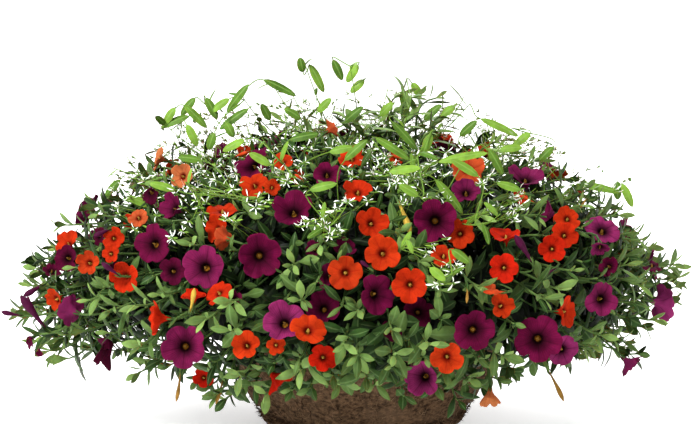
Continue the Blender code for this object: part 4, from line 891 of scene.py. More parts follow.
def add_calyx(surface, foot, ahead, rng, size=1.0):
    """Narrow sepals round the foot of a tube or a bud."""
    sepals = Blades("sepal")
    start = rng.uniform(0, 2 * math.pi)
    for k in range(SEPALS):
        out = spun(ahead, start + 2 * math.pi * k / SEPALS)
        length = size * rng.uniform(*SEPAL_LENGTHS)
        aim = ahead + out * rng.uniform(0.35, 0.6)
        base = foot + out * 0.0010 - ahead * 0.0012
        half = SEPAL_HALF_WIDTH * size
        sepals.add(base, aim, ahead - out * 0.8, length, half, -0.5, 0.25, rng.uniform(-0.3, 0.4))
    sepals.pour(surface, 1)


def add_stalk(surface, foot, back, rng, thick=STALK_THICK):
    """The pedicel from the plant's inside to a foot that it meets from behind."""
    root = root_in_core(foot)
    span = (foot - root).length
    last = foot + back * min(0.025, 0.35 * span)
    first = root + (foot - root) * 0.35 + raised(0.10 * span)
    path = bezier(root, first, last, foot, STALK_STEPS)
    for _ in range(STALK_BENDS):
        if ROOM.free(path[2:-1], 0.0):
            break
        bent = [point + any_direction(rng) * STALK_BEND for point in (first, last)]
        path = bezier(root, *bent, foot, STALK_STEPS)
    radii = [thick * 1.3, thick, thick, thick * 1.5]
    # The stalk carries a little painted shade.
    strand(surface, path, radii, 6, ROUND, (rng.uniform(-0.3, 0.3), 0.15, 0), 1)


def add_stigma(surface, flower):
    """The small knob in the throat and the anthers round it."""
    colour = STIGMAS[flower.colour]
    deep = flower.middle - flower.face * (0.255 * flower.size)
    top = flower.middle - flower.face * (0.175 * flower.size)
    strand(surface, [deep, top], [0.0004], 5, (0, 0, 1), colour, 2)
    for k in range(ANTHERS):
        out = spun(flower.face, flower.roll + k * math.pi / 2) * (0.022 * flower.size)
        end = top + out * 0.8 + flower.face * (0.0008 + 0.0007 * k)
        knob = [top + out * 0.6 - flower.face * 0.0010, top + out, end]
        strand(surface, knob, [0.0005, 0.0008, 0.0004], 4, (0, 0, 1), colour, 2)


def dress_flowers(name, colour, flowers, rng, nodes=()):
    """One object with these blooms of one colour, each with its calyx, its stalk and its stigma."""
    surface = Surface()
    for flower in flowers:
        points, look = bloom_points(flower, rng)
        hue = (flower.tint, rng.random(), flower.wilt)
        surface.add(points.reshape(-1, 3), grid_faces(*points.shape[:2]), look.reshape(-1, 3), hue)
        foot = flower.middle - flower.face * (TUBE_LENGTH * flower.size)
        add_calyx(surface, foot, flower.face, rng)
        add_stalk(surface, foot - flower.face * 0.0005, -flower.face, rng)
        add_stigma(surface, flower)
    surface.make(name, [PETALS[colour], LEAF, DETAIL], nodes, sharp=75)


def in_bowl(point, margin):
    """True if this point is in the bowl's wall or under the ground, or closer to them than this margin."""
    if point.z < margin:
        return True
    return point.z < BOWL_DEPTH + margin and math.hypot(point.x, point.y) < wall_radius(point.z) + margin


class Room:
    """Where no leaf goes: across a bloom's face, into its throat or before it, into the bowl, or too low."""

    def __init__(self, flowers):
        self.middle = np.array([tuple(flower.middle) for flower in flowers])
        self.face = np.array([tuple(flower.face) for flower in flowers])
        self.size = np.array([flower.size for flower in flowers])
        self.eye = np.array(EYE)
        self.turned = ((self.eye - self.middle) * self.face).sum(axis=1)

    def free(self, points, hide=0.27):
        """True if all these points may be used; hide is how much of a bloom's face stays clear to the eye."""
        if any(in_bowl(point, GROUND_GAP) for point in points):
            return False
        points = np.array([tuple(point) for point in points])
        away = points[:, None, :] - self.middle[None]
        height = (away * self.face[None]).sum(axis=-1)
        out = np.linalg.norm(away - height[..., None] * self.face[None], axis=-1)
        size = self.size[None]
        if ((height > -0.20 * size - 0.001) & (height < 0.12 * size) & (out < 0.54 * size)).any():
            return False
        if ((height > -0.36 * size) & (height < 0.40 * size) & (out < 0.26 * size)).any():
            return False
        ray = points - self.eye
        slope = (ray[:, None, :] * self.face[None]).sum(axis=-1)
        ahead = np.where(np.abs(slope) < 1e-6, 0.0, -self.turned[None] / np.where(slope == 0, 1, slope))
        met = self.eye + ray[:, None, :] * ahead[..., None]
        off = np.linalg.norm(met - self.middle[None], axis=-1)
        hides = (self.turned[None] > 0.2) & (ahead > 1.0) & (ahead < 1.25) & (off < hide * size)
        return not hides.any()


def hidden_flowers(rng):
    """The half hidden blooms of the front."""
    flowers = []
    for colour, px, py, size in HIDDEN_BLOOMS:
        middle = on_dome(px, py) + sight(px, py) * HIDDEN_DEPTH
        face = facing(rng.uniform(-50, 50), rng.uniform(5, 55))
        # Hidden plum blooms are tinted toward near black: painted shade.
        tint = rng.uniform(-0.9, -0.3) if colour == "plum" else rng.uniform(-0.5, 0.5)
        flowers.append(Flower(None, colour, middle, face, size / 1000, rng.uniform(0, 1), tint, 0.0))
    return flowers


def back_flowers(rng):
    """Single blooms spread over the back, clear of the bunches and of each other."""
    flowers = []
    for i in range(BACK_SINGLES):
        for _ in range(BACK_TRIES):
            angle = rng.uniform(*map(math.radians, BACK_SIDES))
            highest = math.radians(BACK_TOP - 30 * math.sin(angle) ** 2)
            out = toward(angle, rng.uniform(math.radians(BACK_BOTTOM), highest))
            middle = HOME + out * (reach(out) * rng.uniform(0.95, 1.0))
            if all((middle - other.middle).length > BACK_SPACING for other in FLOWERS + flowers):
                colour = "plum" if i % 2 else "orange"
                face = (out + any_direction(rng) * 0.35 + raised(0.15)).normalized()
                size = BACK_SIZES[colour] * rng.uniform(0.72, 1.05)
                tint = rng.uniform(-0.3, 0.4)
                flowers.append(Flower(None, colour, middle, face, size, rng.uniform(0, 1), tint, 0.0))
                break
    return flowers


def dress_blooms(single_rng):
    """One object for each of the part's bunches, then one a colour for blooms that no solid stands for."""
    rng = random.Random(31)
    for node in dict.fromkeys(flower.node for flower in FLOWERS):
        bunch = [flower for flower in FLOWERS if flower.node == node]
        dress_flowers(node.replace("blooms", "petals"), bunch[0].colour, bunch, rng, [node])
    for where, singles in (("hidden", hidden_flowers(single_rng)), ("back", BACK_FLOWERS)):
        for colour in PETALS:
            flowers = [flower for flower in singles if flower.colour == colour]
            dress_flowers(f"{where}_{colour}_petals", colour, flowers, single_rng)


SINGLE_RNG = random.Random(33)
FLOWERS = placed_blooms()
BACK_FLOWERS = back_flowers(SINGLE_RNG)
ROOM = Room(FLOWERS + BACK_FLOWERS)
dress_blooms(SINGLE_RNG)


# Foliage
LEAVES_PER_SHOOT = 15
ROSETTE_LEAVES = 6
LEAF_STEP = 0.0060
LEAF_TRIES = 4
# A shoot's leaves from its tip down: the first one's length, how much longer each next one is, and the most,
# then the same for how far they lean out, in degrees
LEAF_LENGTHS = (0.0150, 0.0030, 0.0315)
LEAF_LEANS = (18, 8.0, 78)
SHOOT_RADII = (0.0016, 0.0013, 0.0011, 0.0008)
FILLER_SHOOTS = 180
PICTURE_SHOOTS = 310
SIDE_SHOOTS = 80
SHOOT_TRIES = 30
# Heights of filler shoots round the dome, as the lowest sine and the way to the highest
FILLER_LOW = -0.46
FILLER_RISE = 1.42
# Where shoots are spread in the photograph: rows for most, then columns, rows and depths for the sides' own,
# and the row from which leaves are broad
SHOOT_ROWS = (130, 400)
SIDE_COLUMNS = ((8, 135), (575, 685))
SIDE_ROWS = (225, 372)
SIDE_DEPTHS = (-0.09, 0.10)
BROAD_FROM = 330
SHOOT_SPACING = 0.019
SHOOT_STEPS = 11
# The steps of a shoot from here on must be clear of the blooms
SHOOT_CLEAR = 5
INNER_LEAVES = 260
CORE_SLICES = 26
CROWN_RADIUS = 0.088
CROWN_HEIGHTS = (0.112, 0.165)
CROWN_THICK = 0.0042
# The points of a plant's inside, painted near black as shade, that are lumpy
LUMPY_FROM = 6
LUMPY_TO = 13
# Looks of a shoot's stem at its root and at its tip: how light, and how much painted shade
STEM_HUES = ((-0.3, 0.9, 0), (0.55, 0.0, 0))
# How deep in the dome a leaf starts to get painted shade, and how far on it is quite dark
SHADED_LEVEL = 0.97
SHADED_SPAN = 0.145
EDGE_LEVEL = 0.78
# How much wider the leaves are low in front, where they hang over the bowl
BROAD_LEAF = 1.75
# The lowest line of the photograph at which the outline is still tested
OUTLINE_BOTTOM = 398
# How often a tip is drawn toward the dome's middle, and by what part of the way
PULLS = 14
PULL = 0.05


def inside_outline(px, py):
    """True if this place in the photograph is within the foliage."""
    inside = False
    for (x0, y0), (x1, y1) in zip(OUTLINE, OUTLINE[1:] + OUTLINE[:1]):
        if (y0 > py) != (y1 > py) and px < x0 + (x1 - x0) * (py - y0) / (y1 - y0):
            inside = not inside
    return inside


def drawn_inside(tip, margin=11):
    """This tip moved toward the dome's middle until it is within the outline, on all sides by this margin."""
    for _ in range(PULLS):
        px, py = picture_place(tip)
        near = [(px, py), (px + margin, py), (px - margin, py), (px, py + margin), (px, py - margin)]
        if all(inside_outline(x, min(y, OUTLINE_BOTTOM)) for x, y in near):
            return tip
        tip = tip + (HOME - tip) * PULL
    return None


def apart(point, tips, spacing):
    """True if there is such a point and it is this far from all the tips."""
    return point is not None and all((point - other[0]).length > spacing for other in tips)


def shoot_tips(rng):
    """Every shoot's tip, how light its leaves are, partly as painted light and shade, how much wider than
    most, and where painted shade starts.
    """
    tips = []
    for place in OUTLINE_TIPS:
        point = at_depth(*place)
        tips.append((point - (point - HOME).normalized() * 0.014, 0.45, 1.35, EDGE_LEVEL))
    for place in CREST_TIPS:
        # Crest leaves get a light tint: partly their own light green, partly painted light on leaves facing
        # away from the light.
        tips.append((at_depth(*place), rng.uniform(0.6, 1.2), rng.uniform(0.8, 1.1), EDGE_LEVEL))
    for place in HANGING:
        tips.append((at_depth(*place) + UP * 0.012, rng.uniform(-0.35, 0.10), BROAD_LEAF, EDGE_LEVEL))
    for px, py in ROSETTES:
        wide = rng.uniform(1.0, 1.3) if py < BROAD_FROM else rng.uniform(1.2, BROAD_LEAF)
        tips.append((on_dome(px, py) - sight(px, py) * 0.004, rng.uniform(0.25, 0.75), wide, SHADED_LEVEL))
    for i in range(FILLER_SHOOTS):
        out = toward(i * GOLDEN_ANGLE, math.asin(FILLER_LOW + FILLER_RISE * (i + 0.5) / FILLER_SHOOTS))
        point = drawn_inside(HOME + out * (reach(out) * rng.uniform(0.84, 1.0)))
        if point is not None:
            tips.append((point, rng.uniform(-0.55, 0.25), rng.uniform(0.9, 1.4), SHADED_LEVEL))
    for i in range(PICTURE_SHOOTS):
        for _ in range(SHOOT_TRIES):
            px = rng.uniform(0, PICTURE_WIDTH)
            py = rng.uniform(*SHOOT_ROWS)
            if not inside_outline(px, py):
                continue
            found = on_dome(px, py, 1 if i % 3 else -1)
            point = drawn_inside(found + (HOME - found) * rng.uniform(0.0, 0.10))
            if apart(point, tips, SHOOT_SPACING):
                wide = rng.uniform(0.9, 1.2) if py < 320 else 1.4
                tips.append((point, rng.uniform(-0.55, 0.25), wide, SHADED_LEVEL))
                break
    for i in range(SIDE_SHOOTS):
        for _ in range(SHOOT_TRIES):
            px = rng.uniform(*SIDE_COLUMNS[i % 2])
            py = rng.uniform(*SIDE_ROWS)
            if not inside_outline(px, py):
                continue
            point = drawn_inside(at_depth(px, py, rng.uniform(*SIDE_DEPTHS)), 5)
            if apart(point, tips, 0.75 * SHOOT_SPACING):
                tips.append((point, rng.uniform(-0.30, 0.55), rng.uniform(1.2, 1.6), EDGE_LEVEL))
                break
    return tips


def shoot_path(tip, bend):
    """A shoot's line from inside its plant to its tip: up and out, then over."""
    root = root_in_core(tip)
    span = (tip - root).length
    out = Vector((tip.x, tip.y, 0)).normalized()
    first = root + (tip - root) * 0.4 + raised(0.22 * span)
    last = tip - (out * 0.8 + Vector((0, 0, bend))).normalized() * (0.3 * span)
    return bezier(root, first, last, tip, SHOOT_STEPS)


def along_path(path, left):
    """The point and the direction of a path at this distance before its end."""
    for k in range(len(path) - 1, 0, -1):
        step = (path[k] - path[k - 1]).length
        if left <= step or k == 1:
            part = min(left / max(step, 1e-6), 1.0)
            return path[k].lerp(path[k - 1], part), (path[k] - path[k - 1]).normalized()
        left -= step


def blade_points(base, aim, up, length, half, curl):
    """A few places on a leaf, for Room's test."""
    up = (up - aim * up.dot(aim)).normalized()
    side = aim.cross(up) * half
    points = []
    for t in (0.25, 0.55, 0.8, 1.0):
        middle = base + (aim * math.sin(curl * t) - up * (1 - math.cos(curl * t))) * (length / curl)
        points += [middle + side, middle - side] if t == 0.55 else [middle]
    return points


def add_leaves(blades, path, light, wide, level, rng):
    """Leaves up a shoot on a spiral: larger and darker down the stem, partly with painted shade, a light
    rosette at its tip.
    """
    first, growth, longest = LEAF_LENGTHS
    first_lean, next_lean, last_lean = LEAF_LEANS
    spin = rng.uniform(0, 2 * math.pi)
    for i in range(LEAVES_PER_SHOOT):
        back = 0.0008 + LEAF_STEP * i * (0.35 + 0.65 * min(1.0, i / ROSETTE_LEAVES))
        point, ahead = along_path(path, back)
        away = (point - HOME).normalized()
        axis = (ahead + away * (0.5 if i < ROSETTE_LEAVES else 0.2)).normalized()
        for attempt in range(LEAF_TRIES):
            out = spun(axis, spin + (i + 0.37 * attempt) * GOLDEN_ANGLE)
            lean = math.radians(min(last_lean, first_lean + next_lean * i) + rng.uniform(-10, 10))
            aim = (axis * math.cos(lean) + out * math.sin(lean)).normalized()
            up = axis * math.sin(lean) - out * math.cos(lean)
            length = min(first + growth * i, longest) * rng.uniform(0.78, 1.18) * (1 - 0.16 * attempt)
            half = length * wide * rng.uniform(0.105, 0.155)
            curl = rng.uniform(0.15, 1.0)
            if ROOM.free(blade_points(point, aim, up, length, half, curl)):
                break
        else:
            continue
        # Tint falls down the shoot: partly the young leaves' lighter green, partly painted shade.
        tint = light + 0.40 - 0.130 * i + rng.uniform(-0.30, 0.30)
        # Painted shade grows deeper inside the dome and low on the shoot, with some at random.
        deep = (level - dome_level(point + aim * (0.6 * length))) / SHADED_SPAN
        shade = min(1.0, max(0.0, 0.05 * (i - 7), deep) + max(0.0, rng.gauss(0, 0.20)))
        blades.add(point, aim, up, length, half, curl, rng.uniform(0.15, 0.50), tint, shade)


def core_profile(angle):
    """(radius, height) outline of a plant's dense inside, above the soil and out over the rim."""
    out = reach(toward(angle))
    inner = 0.024
    return [
        (inner, 0.1560), (CORE_SKIRT * 0.6, 0.1560), (CORE_SKIRT, 0.1560), (CORE_SKIRT + 0.002, 0.137),
        (CORE_SKIRT + 0.004, 0.118), (0.66 * out, 0.114), (0.71 * out, 0.125), (0.70 * out, 0.146),
        (0.62 * out, 0.162), (0.54 * out, 0.174), (0.45 * out, 0.186), (0.36 * out, 0.194),
        (0.26 * out, 0.204), (0.16 * out, 0.209), (inner, 0.212),
    ]


def add_core(surface, number, rng):
    """The tangle inside one plant, closed and painted near black as shade, and the places on it where inner
    leaves start.
    """
    shift = Vector((7.3 * number, 1.1, 4.2))
    rings = []
    for i in range(CORE_SLICES + 1):
        angle = number * PLANT_ANGLE + (PLANT_ANGLE - 0.012) * (i / CORE_SLICES - 0.5)
        ring = []
        for k, (r, z) in enumerate(core_profile(angle)):
            point = polar(r, angle, z)
            if LUMPY_FROM <= k <= LUMPY_TO and 0 < i < CORE_SLICES:
                lump = noise.noise(point * 60 + shift) * 0.007 + noise.noise(point * 150 + shift) * 0.004
                point += Vector((math.cos(angle), math.sin(angle), 0.7)) * (lump - 0.004)
            ring.append(tuple(point))
        rings.append(ring)
    across = len(rings[0])
    last = CORE_SLICES * across
    ends = []
    for k in range(1, across - 1):
        ends += [(0, k, k + 1, -1), (last, last + k + 1, last + k, -1)]
    faces = np.concatenate([grid_faces(CORE_SLICES + 1, across)[:, ::-1], np.array(ends)])
    surface.add(np.array(rings).reshape(-1, 3), faces, (0.5, 1.0, 1.0), (-1.0, 1.0, 0), 1)
    starts = []
    for _ in range(INNER_LEAVES):
        i = rng.randrange(2, CORE_SLICES - 1)
        k = rng.randrange(5, across - 1)
        starts.append(Vector(rings[i][k]).lerp(Vector(rings[i + 1][k]), rng.random()))
    return starts


def dress_plants():
    """Each calibrachoa: its inside painted near black as shade, its shoots and their leaves, where the part's
    plants stand.
    """
    rng = random.Random(41)
    shoots = []
    for tip, light, wide, level in shoot_tips(rng):
        shoots.append((sector_of(tip), shoot_path(tip, rng.uniform(-0.15, 0.35)), light, wide, level))
    for number in range(PLANTS):
        node = f"calibrachoa_{number + 1}"
        stems = Surface()
        starts = add_core(stems, number, rng)
        x = CROWN_RADIUS * math.cos(number * PLANT_ANGLE)
        y = CROWN_RADIUS * math.sin(number * PLANT_ANGLE)
        # The crown's stem carries painted shade.
        strand(stems, [(x, y, z) for z in CROWN_HEIGHTS], [CROWN_THICK], 10, ROUND, (-0.4, 0.6, 0))
        blades = Blades("leaf")
        for sector, path, light, wide, level in shoots:
            if sector == number and ROOM.free(path[SHOOT_CLEAR:], 0.0):
                strand(stems, path, SHOOT_RADII, 5, ROUND, STEM_HUES)
                add_leaves(blades, path, light, wide, level, rng)
        for start in starts:
            out = (start - raised(DOME_HEIGHT - 0.03)).normalized()
            aim = (out + any_direction(rng) * 0.55).normalized()
            length = rng.uniform(0.016, 0.026)
            half = length * rng.uniform(0.14, 0.18)
            up = raised(1) + out * 0.4
            curl = rng.uniform(0.2, 0.9)
            if ROOM.free(blade_points(start, aim, up, length, half, curl)):
                # Inner leaves: dark tint and heavy painted shade.
                painted_shade_looks = rng.uniform(-0.9, -0.2), rng.uniform(0.5, 1.0)
                blades.add(start - out * 0.004, aim, up, length, half, curl, 0.3, *painted_shade_looks)
        leaves = Surface()
        blades.pour(leaves)
        stems.make(f"{node}_stems", [LEAF, SHADE_TANGLE], [node])
        leaves.make(f"{node}_leaves", [LEAF], [node])


def dress_buds():
    """Closed and fading blooms: each a tube from its calyx to its tip."""
    rng = random.Random(51)
    surface = Surface()
    for kind, px, py, tip_x, tip_y in BUDS:
        foot = on_dome(px, py) - sight(px, py) * 0.008
        aim = RIGHT * (tip_x - px) - UP * (tip_y - py)
        aim = (aim.normalized() + BACK * 0.35).normalized()
        length = max(0.012, math.hypot(tip_x - px, tip_y - py) * PIXEL * 1.05)
        across = side_of(aim)
        path = [foot + aim * (length * t) + across * (0.10 * length * t * t) for t in np.linspace(0, 1, 9)]
        wide = BUD_WIDTHS[kind] * length + 0.0004
        strand(surface, path, [wide * part for part in BUD_RADII], 10, (0.5, 1.0, 1.0), BUD_COLOURS[kind])
        add_calyx(surface, foot, aim, rng, 0.9)
        add_stalk(surface, foot, -aim, rng, BUD_STALK_THICK)
    surface.make("buds_and_faded_blooms", [DETAIL, LEAF])


dress_plants()
dress_buds()


# Euphorbia
SPRAY_STEPS = 20
SPRAY_LEAF_STEP = 0.030
BRACT_LENGTHS = (0.0036, 0.0076)
TRUNK_RADII = (0.0032, 0.0026)
SPRAY_RADII = (0.0012, 0.0008, 0.0006, 0.0004)
LEAF_TWIG_RADII = (0.0006, 0.0005)
TWIG_RADII = (0.0004, 0.00025)
TWIG_LIMIT = 0.050
BACK_TOP_REACH = 0.235


def spray_paths(rng):
    """The branches of the euphorbia from its trunk's top to their tips, as in the part."""
    tips = [at_depth(*place) for place in EUPHORBIA_TIPS]
    for i in range(BACK_SPRAYS):
        angle = math.radians(18 + 144 * i / (BACK_SPRAYS - 1))
        far = 0.10 + 0.11 * (i % 2)
        tips.append(polar(far, angle, 0.305 - 0.5 * (far - 0.10)))
    paths = []
    for i, tip in enumerate(sorted(tips, key=lambda tip: -math.hypot(tip.x, tip.y))):
        root = raised(EUPHORBIA_FORKS - 0.0016 * i)
        span = (tip - root).length
        first = root.lerp(tip, 0.36) + raised(rng.uniform(-0.02, 0.06) * span)
        last = tip.lerp(root, 0.30) + raised(-0.16 * span) + any_direction(rng) * 0.012
        paths.append(bezier(root, first, last, tip, SPRAY_STEPS))
    return paths


def add_cluster(bracts, green, buds, point, axis, rng):
    """A few tiny white bracts round a small bud, over a pair of little green leaves."""
    near = side_of(axis)
    spin = rng.uniform(0, 2 * math.pi)
    count = rng.choice((2, 3, 3, 4, 5))
    for k in range(count):
        out = spun(axis, spin + 2 * math.pi * k / count + rng.uniform(-0.6, 0.6))
        lean = math.radians(rng.uniform(20, 95))
        aim = axis * math.cos(lean) + out * math.sin(lean)
        up = axis * math.sin(lean) - out * math.cos(lean)
        length = rng.uniform(*BRACT_LENGTHS)
        start = point + out * rng.uniform(0.0, 0.0015)
        half = length * rng.uniform(0.065, 0.115)
        bracts.add(start, aim, up, length, half, rng.uniform(-1.6, 1.9), 0.15, 0.0)
    bud = [point - axis * 0.0006, point + axis * 0.0008, point + axis * 0.0019]
    strand(buds, bud, [0.0005, 0.0008, 0.0003], 4, (0.5, 1, 1), (0.10, 0.0, 0))
    for side in (-1, 1):
        aim = (axis * 0.5 + near * side + any_direction(rng) * 0.2).normalized()
        length = rng.uniform(0.005, 0.009)
        up = axis - near * side * 0.4
        green.add(point - axis * 0.002, aim, up, length, 0.0009, 0.3, 0.2, rng.uniform(0.1, 0.8))


def cluster_places(rng):
    """Where white clusters stand: the photograph's crowded zones, then the top and the back."""
    places = []
    for left, right, top, bottom, count in BRACT_ZONES:
        for _ in range(count):
            px = rng.uniform(left, right)
            py = rng.uniform(top, bottom)
            if inside_outline(px, py):
                places.append(on_dome(px, py) - sight(px, py) * rng.uniform(0.004, 0.022))
    for _ in range(BACK_BRACTS):
        angle = rng.uniform(-0.15, math.pi + 0.15)
        far = BACK_TOP_REACH * math.sqrt(rng.uniform(0.02, 1.0))
        out = polar(far, angle, 0)
        top = DOME_HEIGHT + REACH_UP * math.sqrt(max(0.0, 1 - (far / reach(out.normalized())) ** 2))
        places.append(out + raised(top + rng.uniform(0.0, 0.020)))
    return [place for place in places if ROOM.free([place], 0.40)]


def dress_euphorbia():
    """The airy white plant: stems that fork, long light leaves, and clusters of tiny white bracts."""
    rng = random.Random(61)
    stems = Surface()
    leaves = Blades("oblong")
    leaflets = Blades("sepal")
    bracts = Blades("bract")
    paths = spray_paths(rng)
    trunk = [(0, 0, 0.112), (0, 0, 0.18), (0, 0, EUPHORBIA_FORKS + 0.004)]
    # The trunk carries painted shade.
    strand(stems, trunk, TRUNK_RADII, 10, SPRAY_ROUND, (-0.2, 0.4, 0))
    held = [point for path in paths for point in path[SPRAY_STEPS // 2:]]
    hold = KDTree(len(held))
    for i, point in enumerate(held):
        hold.insert(point, i)
    hold.balance()
    for path in paths:
        # Each branch carries painted shade at its root, fading to none at its tip.
        strand(stems, path, SPRAY_RADII, 5, SPRAY_ROUND, ((-0.2, 0.6, 0), (0.5, 0.0, 0)))
        length = sum((b - a).length for a, b in zip(path, path[1:]))
        for k in range(int(length * 0.72 / SPRAY_LEAF_STEP)):
            point, ahead = along_path(path, 0.004 + SPRAY_LEAF_STEP * k)
            out = spun(ahead, k * GOLDEN_ANGLE + path[-1].x * 50)
            aim = (ahead * rng.uniform(0.3, 0.9) + out).normalized()
            size = rng.uniform(0.012, 0.021)
            up = ahead - out * 0.3
            curl = rng.uniform(0.1, 0.7)
            if ROOM.free(blade_points(point, aim, up, size, 0.0025, curl)):
                leaves.add(point, aim, up, size, size * 0.150, curl, 0.3, rng.uniform(-0.2, 0.9))
    for x0, y0, x1, y1, depth in SPRAY_LEAVES:
        base = at_depth(x0, y0, depth)
        tip = at_depth(x1, y1, depth - 0.003)
        aim = (tip - base).normalized()
        joint = held[hold.find(base)[1]]
        bow = base - aim * 0.35 * (base - joint).length
        twig = bezier(joint, joint.lerp(base, 0.4), bow, base, 7)
        strand(stems, twig, LEAF_TWIG_RADII, 5, SPRAY_ROUND, (0.4, 0.0, 0))
        up = BACK * 0.9 + UP * 0.5
        leaves.add(base, aim, up, (tip - base).length, 0.0041, 0.25, 0.3, rng.uniform(-0.2, 1.0))
    for point in cluster_places(rng):
        joint = held[rng.choice(hold.find_n(point - raised(0.02), 9))[1]]
        upward = (point - raised(0.10)).normalized()
        span = (point - joint).length
        if span > TWIG_LIMIT:
            joint = point - upward * rng.uniform(0.035, 0.055) + any_direction(rng) * 0.012
            span = (point - joint).length
        axis = ((point - joint).normalized() * 0.6 + upward * 0.8).normalized()
        first = joint.lerp(point, 0.35) + any_direction(rng) * (0.14 * span)
        twig = bezier(joint, first, point - axis * (0.3 * span), point, 4)
        if ROOM.free(twig[1:], 0.30):
            strand(stems, twig, TWIG_RADII, 3, SPRAY_ROUND, (0.8, 0.0, 0))
            add_cluster(bracts, leaflets, stems, point, axis, rng)
    green = Surface()
    leaves.pour(green)
    leaflets.pour(green)
    white = Surface()
    bracts.pour(white)
    stems.make("euphorbia_stems", [SPRAY], ["euphorbia"])
    green.make("euphorbia_leaves", [SPRAY], ["euphorbia"])
    white.make("euphorbia_bracts", [BRACT], ["euphorbia"])


dress_euphorbia()


# Bowl
BOWL_ANGLES = 160
FIBRES = 2200
# The ragged fold round the foot of the bowl, dark with painted shade: its height, its half height, how deep
# it is and its fringe
FOLD_HEIGHT = 0.0165
FOLD_SPREAD = 0.0026
FOLD_DEPTH = 0.0035
FRINGE_BITS = 420
FRINGE_SPREAD = 0.0045
FRINGE_HEIGHTS = (0.002, 0.032)
FRINGE_RADII = (0.0006, 0.0002)
FIBRE_LENGTHS = (0.005, 0.017)
FIBRE_RADII = (0.00012, 0.00028)


def bowl_roughness(point):
    """How far the matted fibre stands out at this place."""
    coarse = noise.noise(point * 55) * 0.0024 + noise.noise(point * 150) * 0.0014
    return coarse + noise.noise(point * 400) * 0.0008


def bowl_profile():
    """(radius, height) points round the bowl's closed section, from the middle of its foot."""
    heights = np.concatenate([np.linspace(0.0, 0.020, 14), np.linspace(0.0225, BOWL_DEPTH, 42)])
    outer = [(wall_radius(z), z) for z in heights]
    lip = [(RIM_RADIUS - 0.0012, BOWL_DEPTH + 0.0012), (RIM_RADIUS - WALL / 2, BOWL_DEPTH + 0.002),
           (RIM_RADIUS - WALL + 0.001, BOWL_DEPTH + 0.0005)]
    inner = [(wall_radius(z) - WALL, max(z, WALL)) for z in np.linspace(BOWL_DEPTH - 0.002, 0.004, 20)]
    return [(0.0005, 0.0), (BASE_RADIUS * 0.6, 0.0), *outer, *lip, *inner, (0.0005, WALL)]


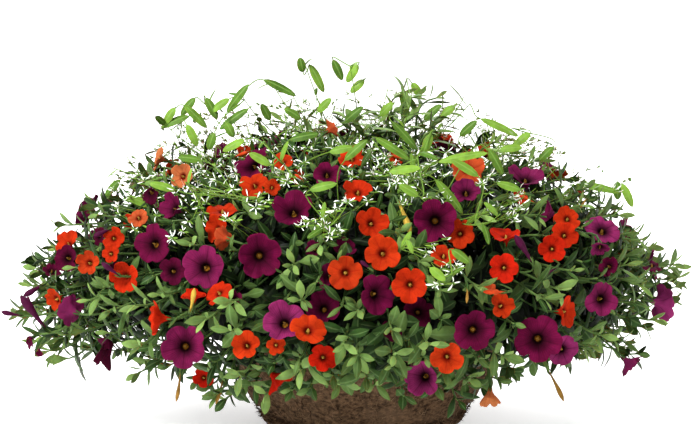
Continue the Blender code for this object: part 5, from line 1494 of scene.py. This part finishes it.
def dress_bowl():
    """The coir bowl: a rough mat, loose fibres all over it, and a fringe in its fold; fold and fringe are
    dark with painted shade.
    """
    rng = random.Random(71)
    surface = Surface()
    profile = bowl_profile()
    rows = []
    shades = []
    for r, z in profile:
        for k in range(BOWL_ANGLES):
            a = 2 * math.pi * k / BOWL_ANGLES
            place = polar(r, a, z)
            push = bowl_roughness(place) if r > BASE_RADIUS * 0.7 else 0.0
            crease = math.exp(-(((z - FOLD_HEIGHT + 0.0015 * math.sin(3 * a)) / FOLD_SPREAD) ** 2))
            crease *= max(0.0, min(1.0, 0.70 + 1.2 * noise.noise(place * 45)))
            if r > wall_radius(z) - 0.001:
                push -= crease * FOLD_DEPTH
            rows.append(((r + push) * math.cos(a), (r + push) * math.sin(a), z))
            # The crease pushes the fold in and paints shade into it.
            shades.append((0.1, crease, 0))
    surface.add(rows, grid_faces(len(profile), BOWL_ANGLES), (0, 0, 0), shades)
    for _ in range(FIBRES):
        z = rng.uniform(0.002, BOWL_DEPTH - 0.004)
        a = rng.uniform(0, 2 * math.pi)
        way = rng.uniform(0, math.pi)
        length = rng.uniform(*FIBRE_LENGTHS)
        bow = rng.uniform(-1.6, 1.6)
        path = []
        for t in (-0.5, -0.17, 0.17, 0.5):
            at = a + length * t * math.cos(way + bow * t) / 0.13
            height = min(max(z + length * t * math.sin(way + bow * t), 0.0012), BOWL_DEPTH - 0.001)
            radius = wall_radius(height) + 0.0006 + 0.0026 * (0.25 - t * t) * rng.uniform(0.2, 2.0)
            path.append(polar(radius, at, height))
        light = min(1.0, rng.uniform(-0.8, 1.5))
        hue = (max(0, light), max(0, -light), 0)
        strand(surface, path, [rng.uniform(*FIBRE_RADII)], 3, (0, 0, 0), hue)
    for _ in range(FRINGE_BITS):
        z = np.clip(rng.gauss(FOLD_HEIGHT, FRINGE_SPREAD), *FRINGE_HEIGHTS)
        a = rng.uniform(0, 2 * math.pi)
        start = polar(wall_radius(z), a, z)
        out = (toward(a) + any_direction(rng) * 0.5).normalized()
        length = rng.uniform(0.002, 0.006)
        end = start + out * length + raised(rng.uniform(-0.001, 0.002))
        path = [Vector((p.x, p.y, max(p.z, 0.0008))) for p in (start, start + out * (length / 2), end)]
        # Fringe bits are darkened with painted shade.
        strand(surface, path, FRINGE_RADII, 3, (0, 0, 0), (0.0, rng.uniform(0.2, 0.9), 0))
    surface.make("coir_bowl_fibres", [COIR], ["coir_bowl"], sharp=180)


dress_bowl()
for node, finish in (("potting_soil", soil_finish()), ("rim_hoop", wire_finish())):
    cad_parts[node].material_slots[0].material = finish


# Studio
WHITE = (1.0, 1.0, 1.0, 1.0)
# Name, place, size and power of each light
LIGHTS = [
    ("key", (-1.2, -1.4, 1.9), 0.6, 115),
    ("fill", (1.7, -1.6, 0.9), 1.4, 12),
    ("back", (0.3, 1.8, 1.6), 1.2, 45),
]


def aimed(name, data, place):
    """A lamp or a camera at this place, turned to the basket."""
    made = bpy.data.objects.new(name, data)
    made.location = place
    made.rotation_euler = (LOOK_AT - Vector(place)).to_track_quat("-Z", "Y").to_euler()
    bpy.context.scene.collection.objects.link(made)
    return made


def studio():
    """A plain light floor and background, and soft lights."""
    bpy.ops.mesh.primitive_plane_add(size=12.0, location=(0, 0, 0))
    floor = bpy.context.object
    floor.name = "floor"
    finish = Shader("floor", 0.9, 0.2)
    shade = finish.span(finish.noise(1.5), 0.0, 1.0, 0.88, 0.92)
    finish.set("Emission Color", WHITE)
    finish.set("Emission Strength", 0.50)
    floor.data.materials.append(finish.paint(finish.join(shade, shade, shade)))
    world = bpy.data.worlds.new("studio")
    world.use_nodes = True
    world.node_tree.nodes["Background"].inputs["Color"].default_value = WHITE
    world.node_tree.nodes["Background"].inputs["Strength"].default_value = 1.0
    bpy.context.scene.world = world
    bpy.context.scene.view_settings.view_transform = "Standard"
    for name, place, size, power in LIGHTS:
        data = bpy.data.lights.new(name, "AREA")
        data.size = size
        data.energy = power
        aimed(name, data, place)


def photo_camera():
    """The view of the photograph."""
    data = bpy.data.cameras.new("photo camera")
    data.sensor_width = SENSOR_WIDTH
    data.lens = SENSOR_WIDTH * VIEW_DISTANCE / (PICTURE_WIDTH * PIXEL)
    data.clip_end = 50
    bpy.context.scene.camera = aimed("photo camera", data, EYE)


studio()
photo_camera()
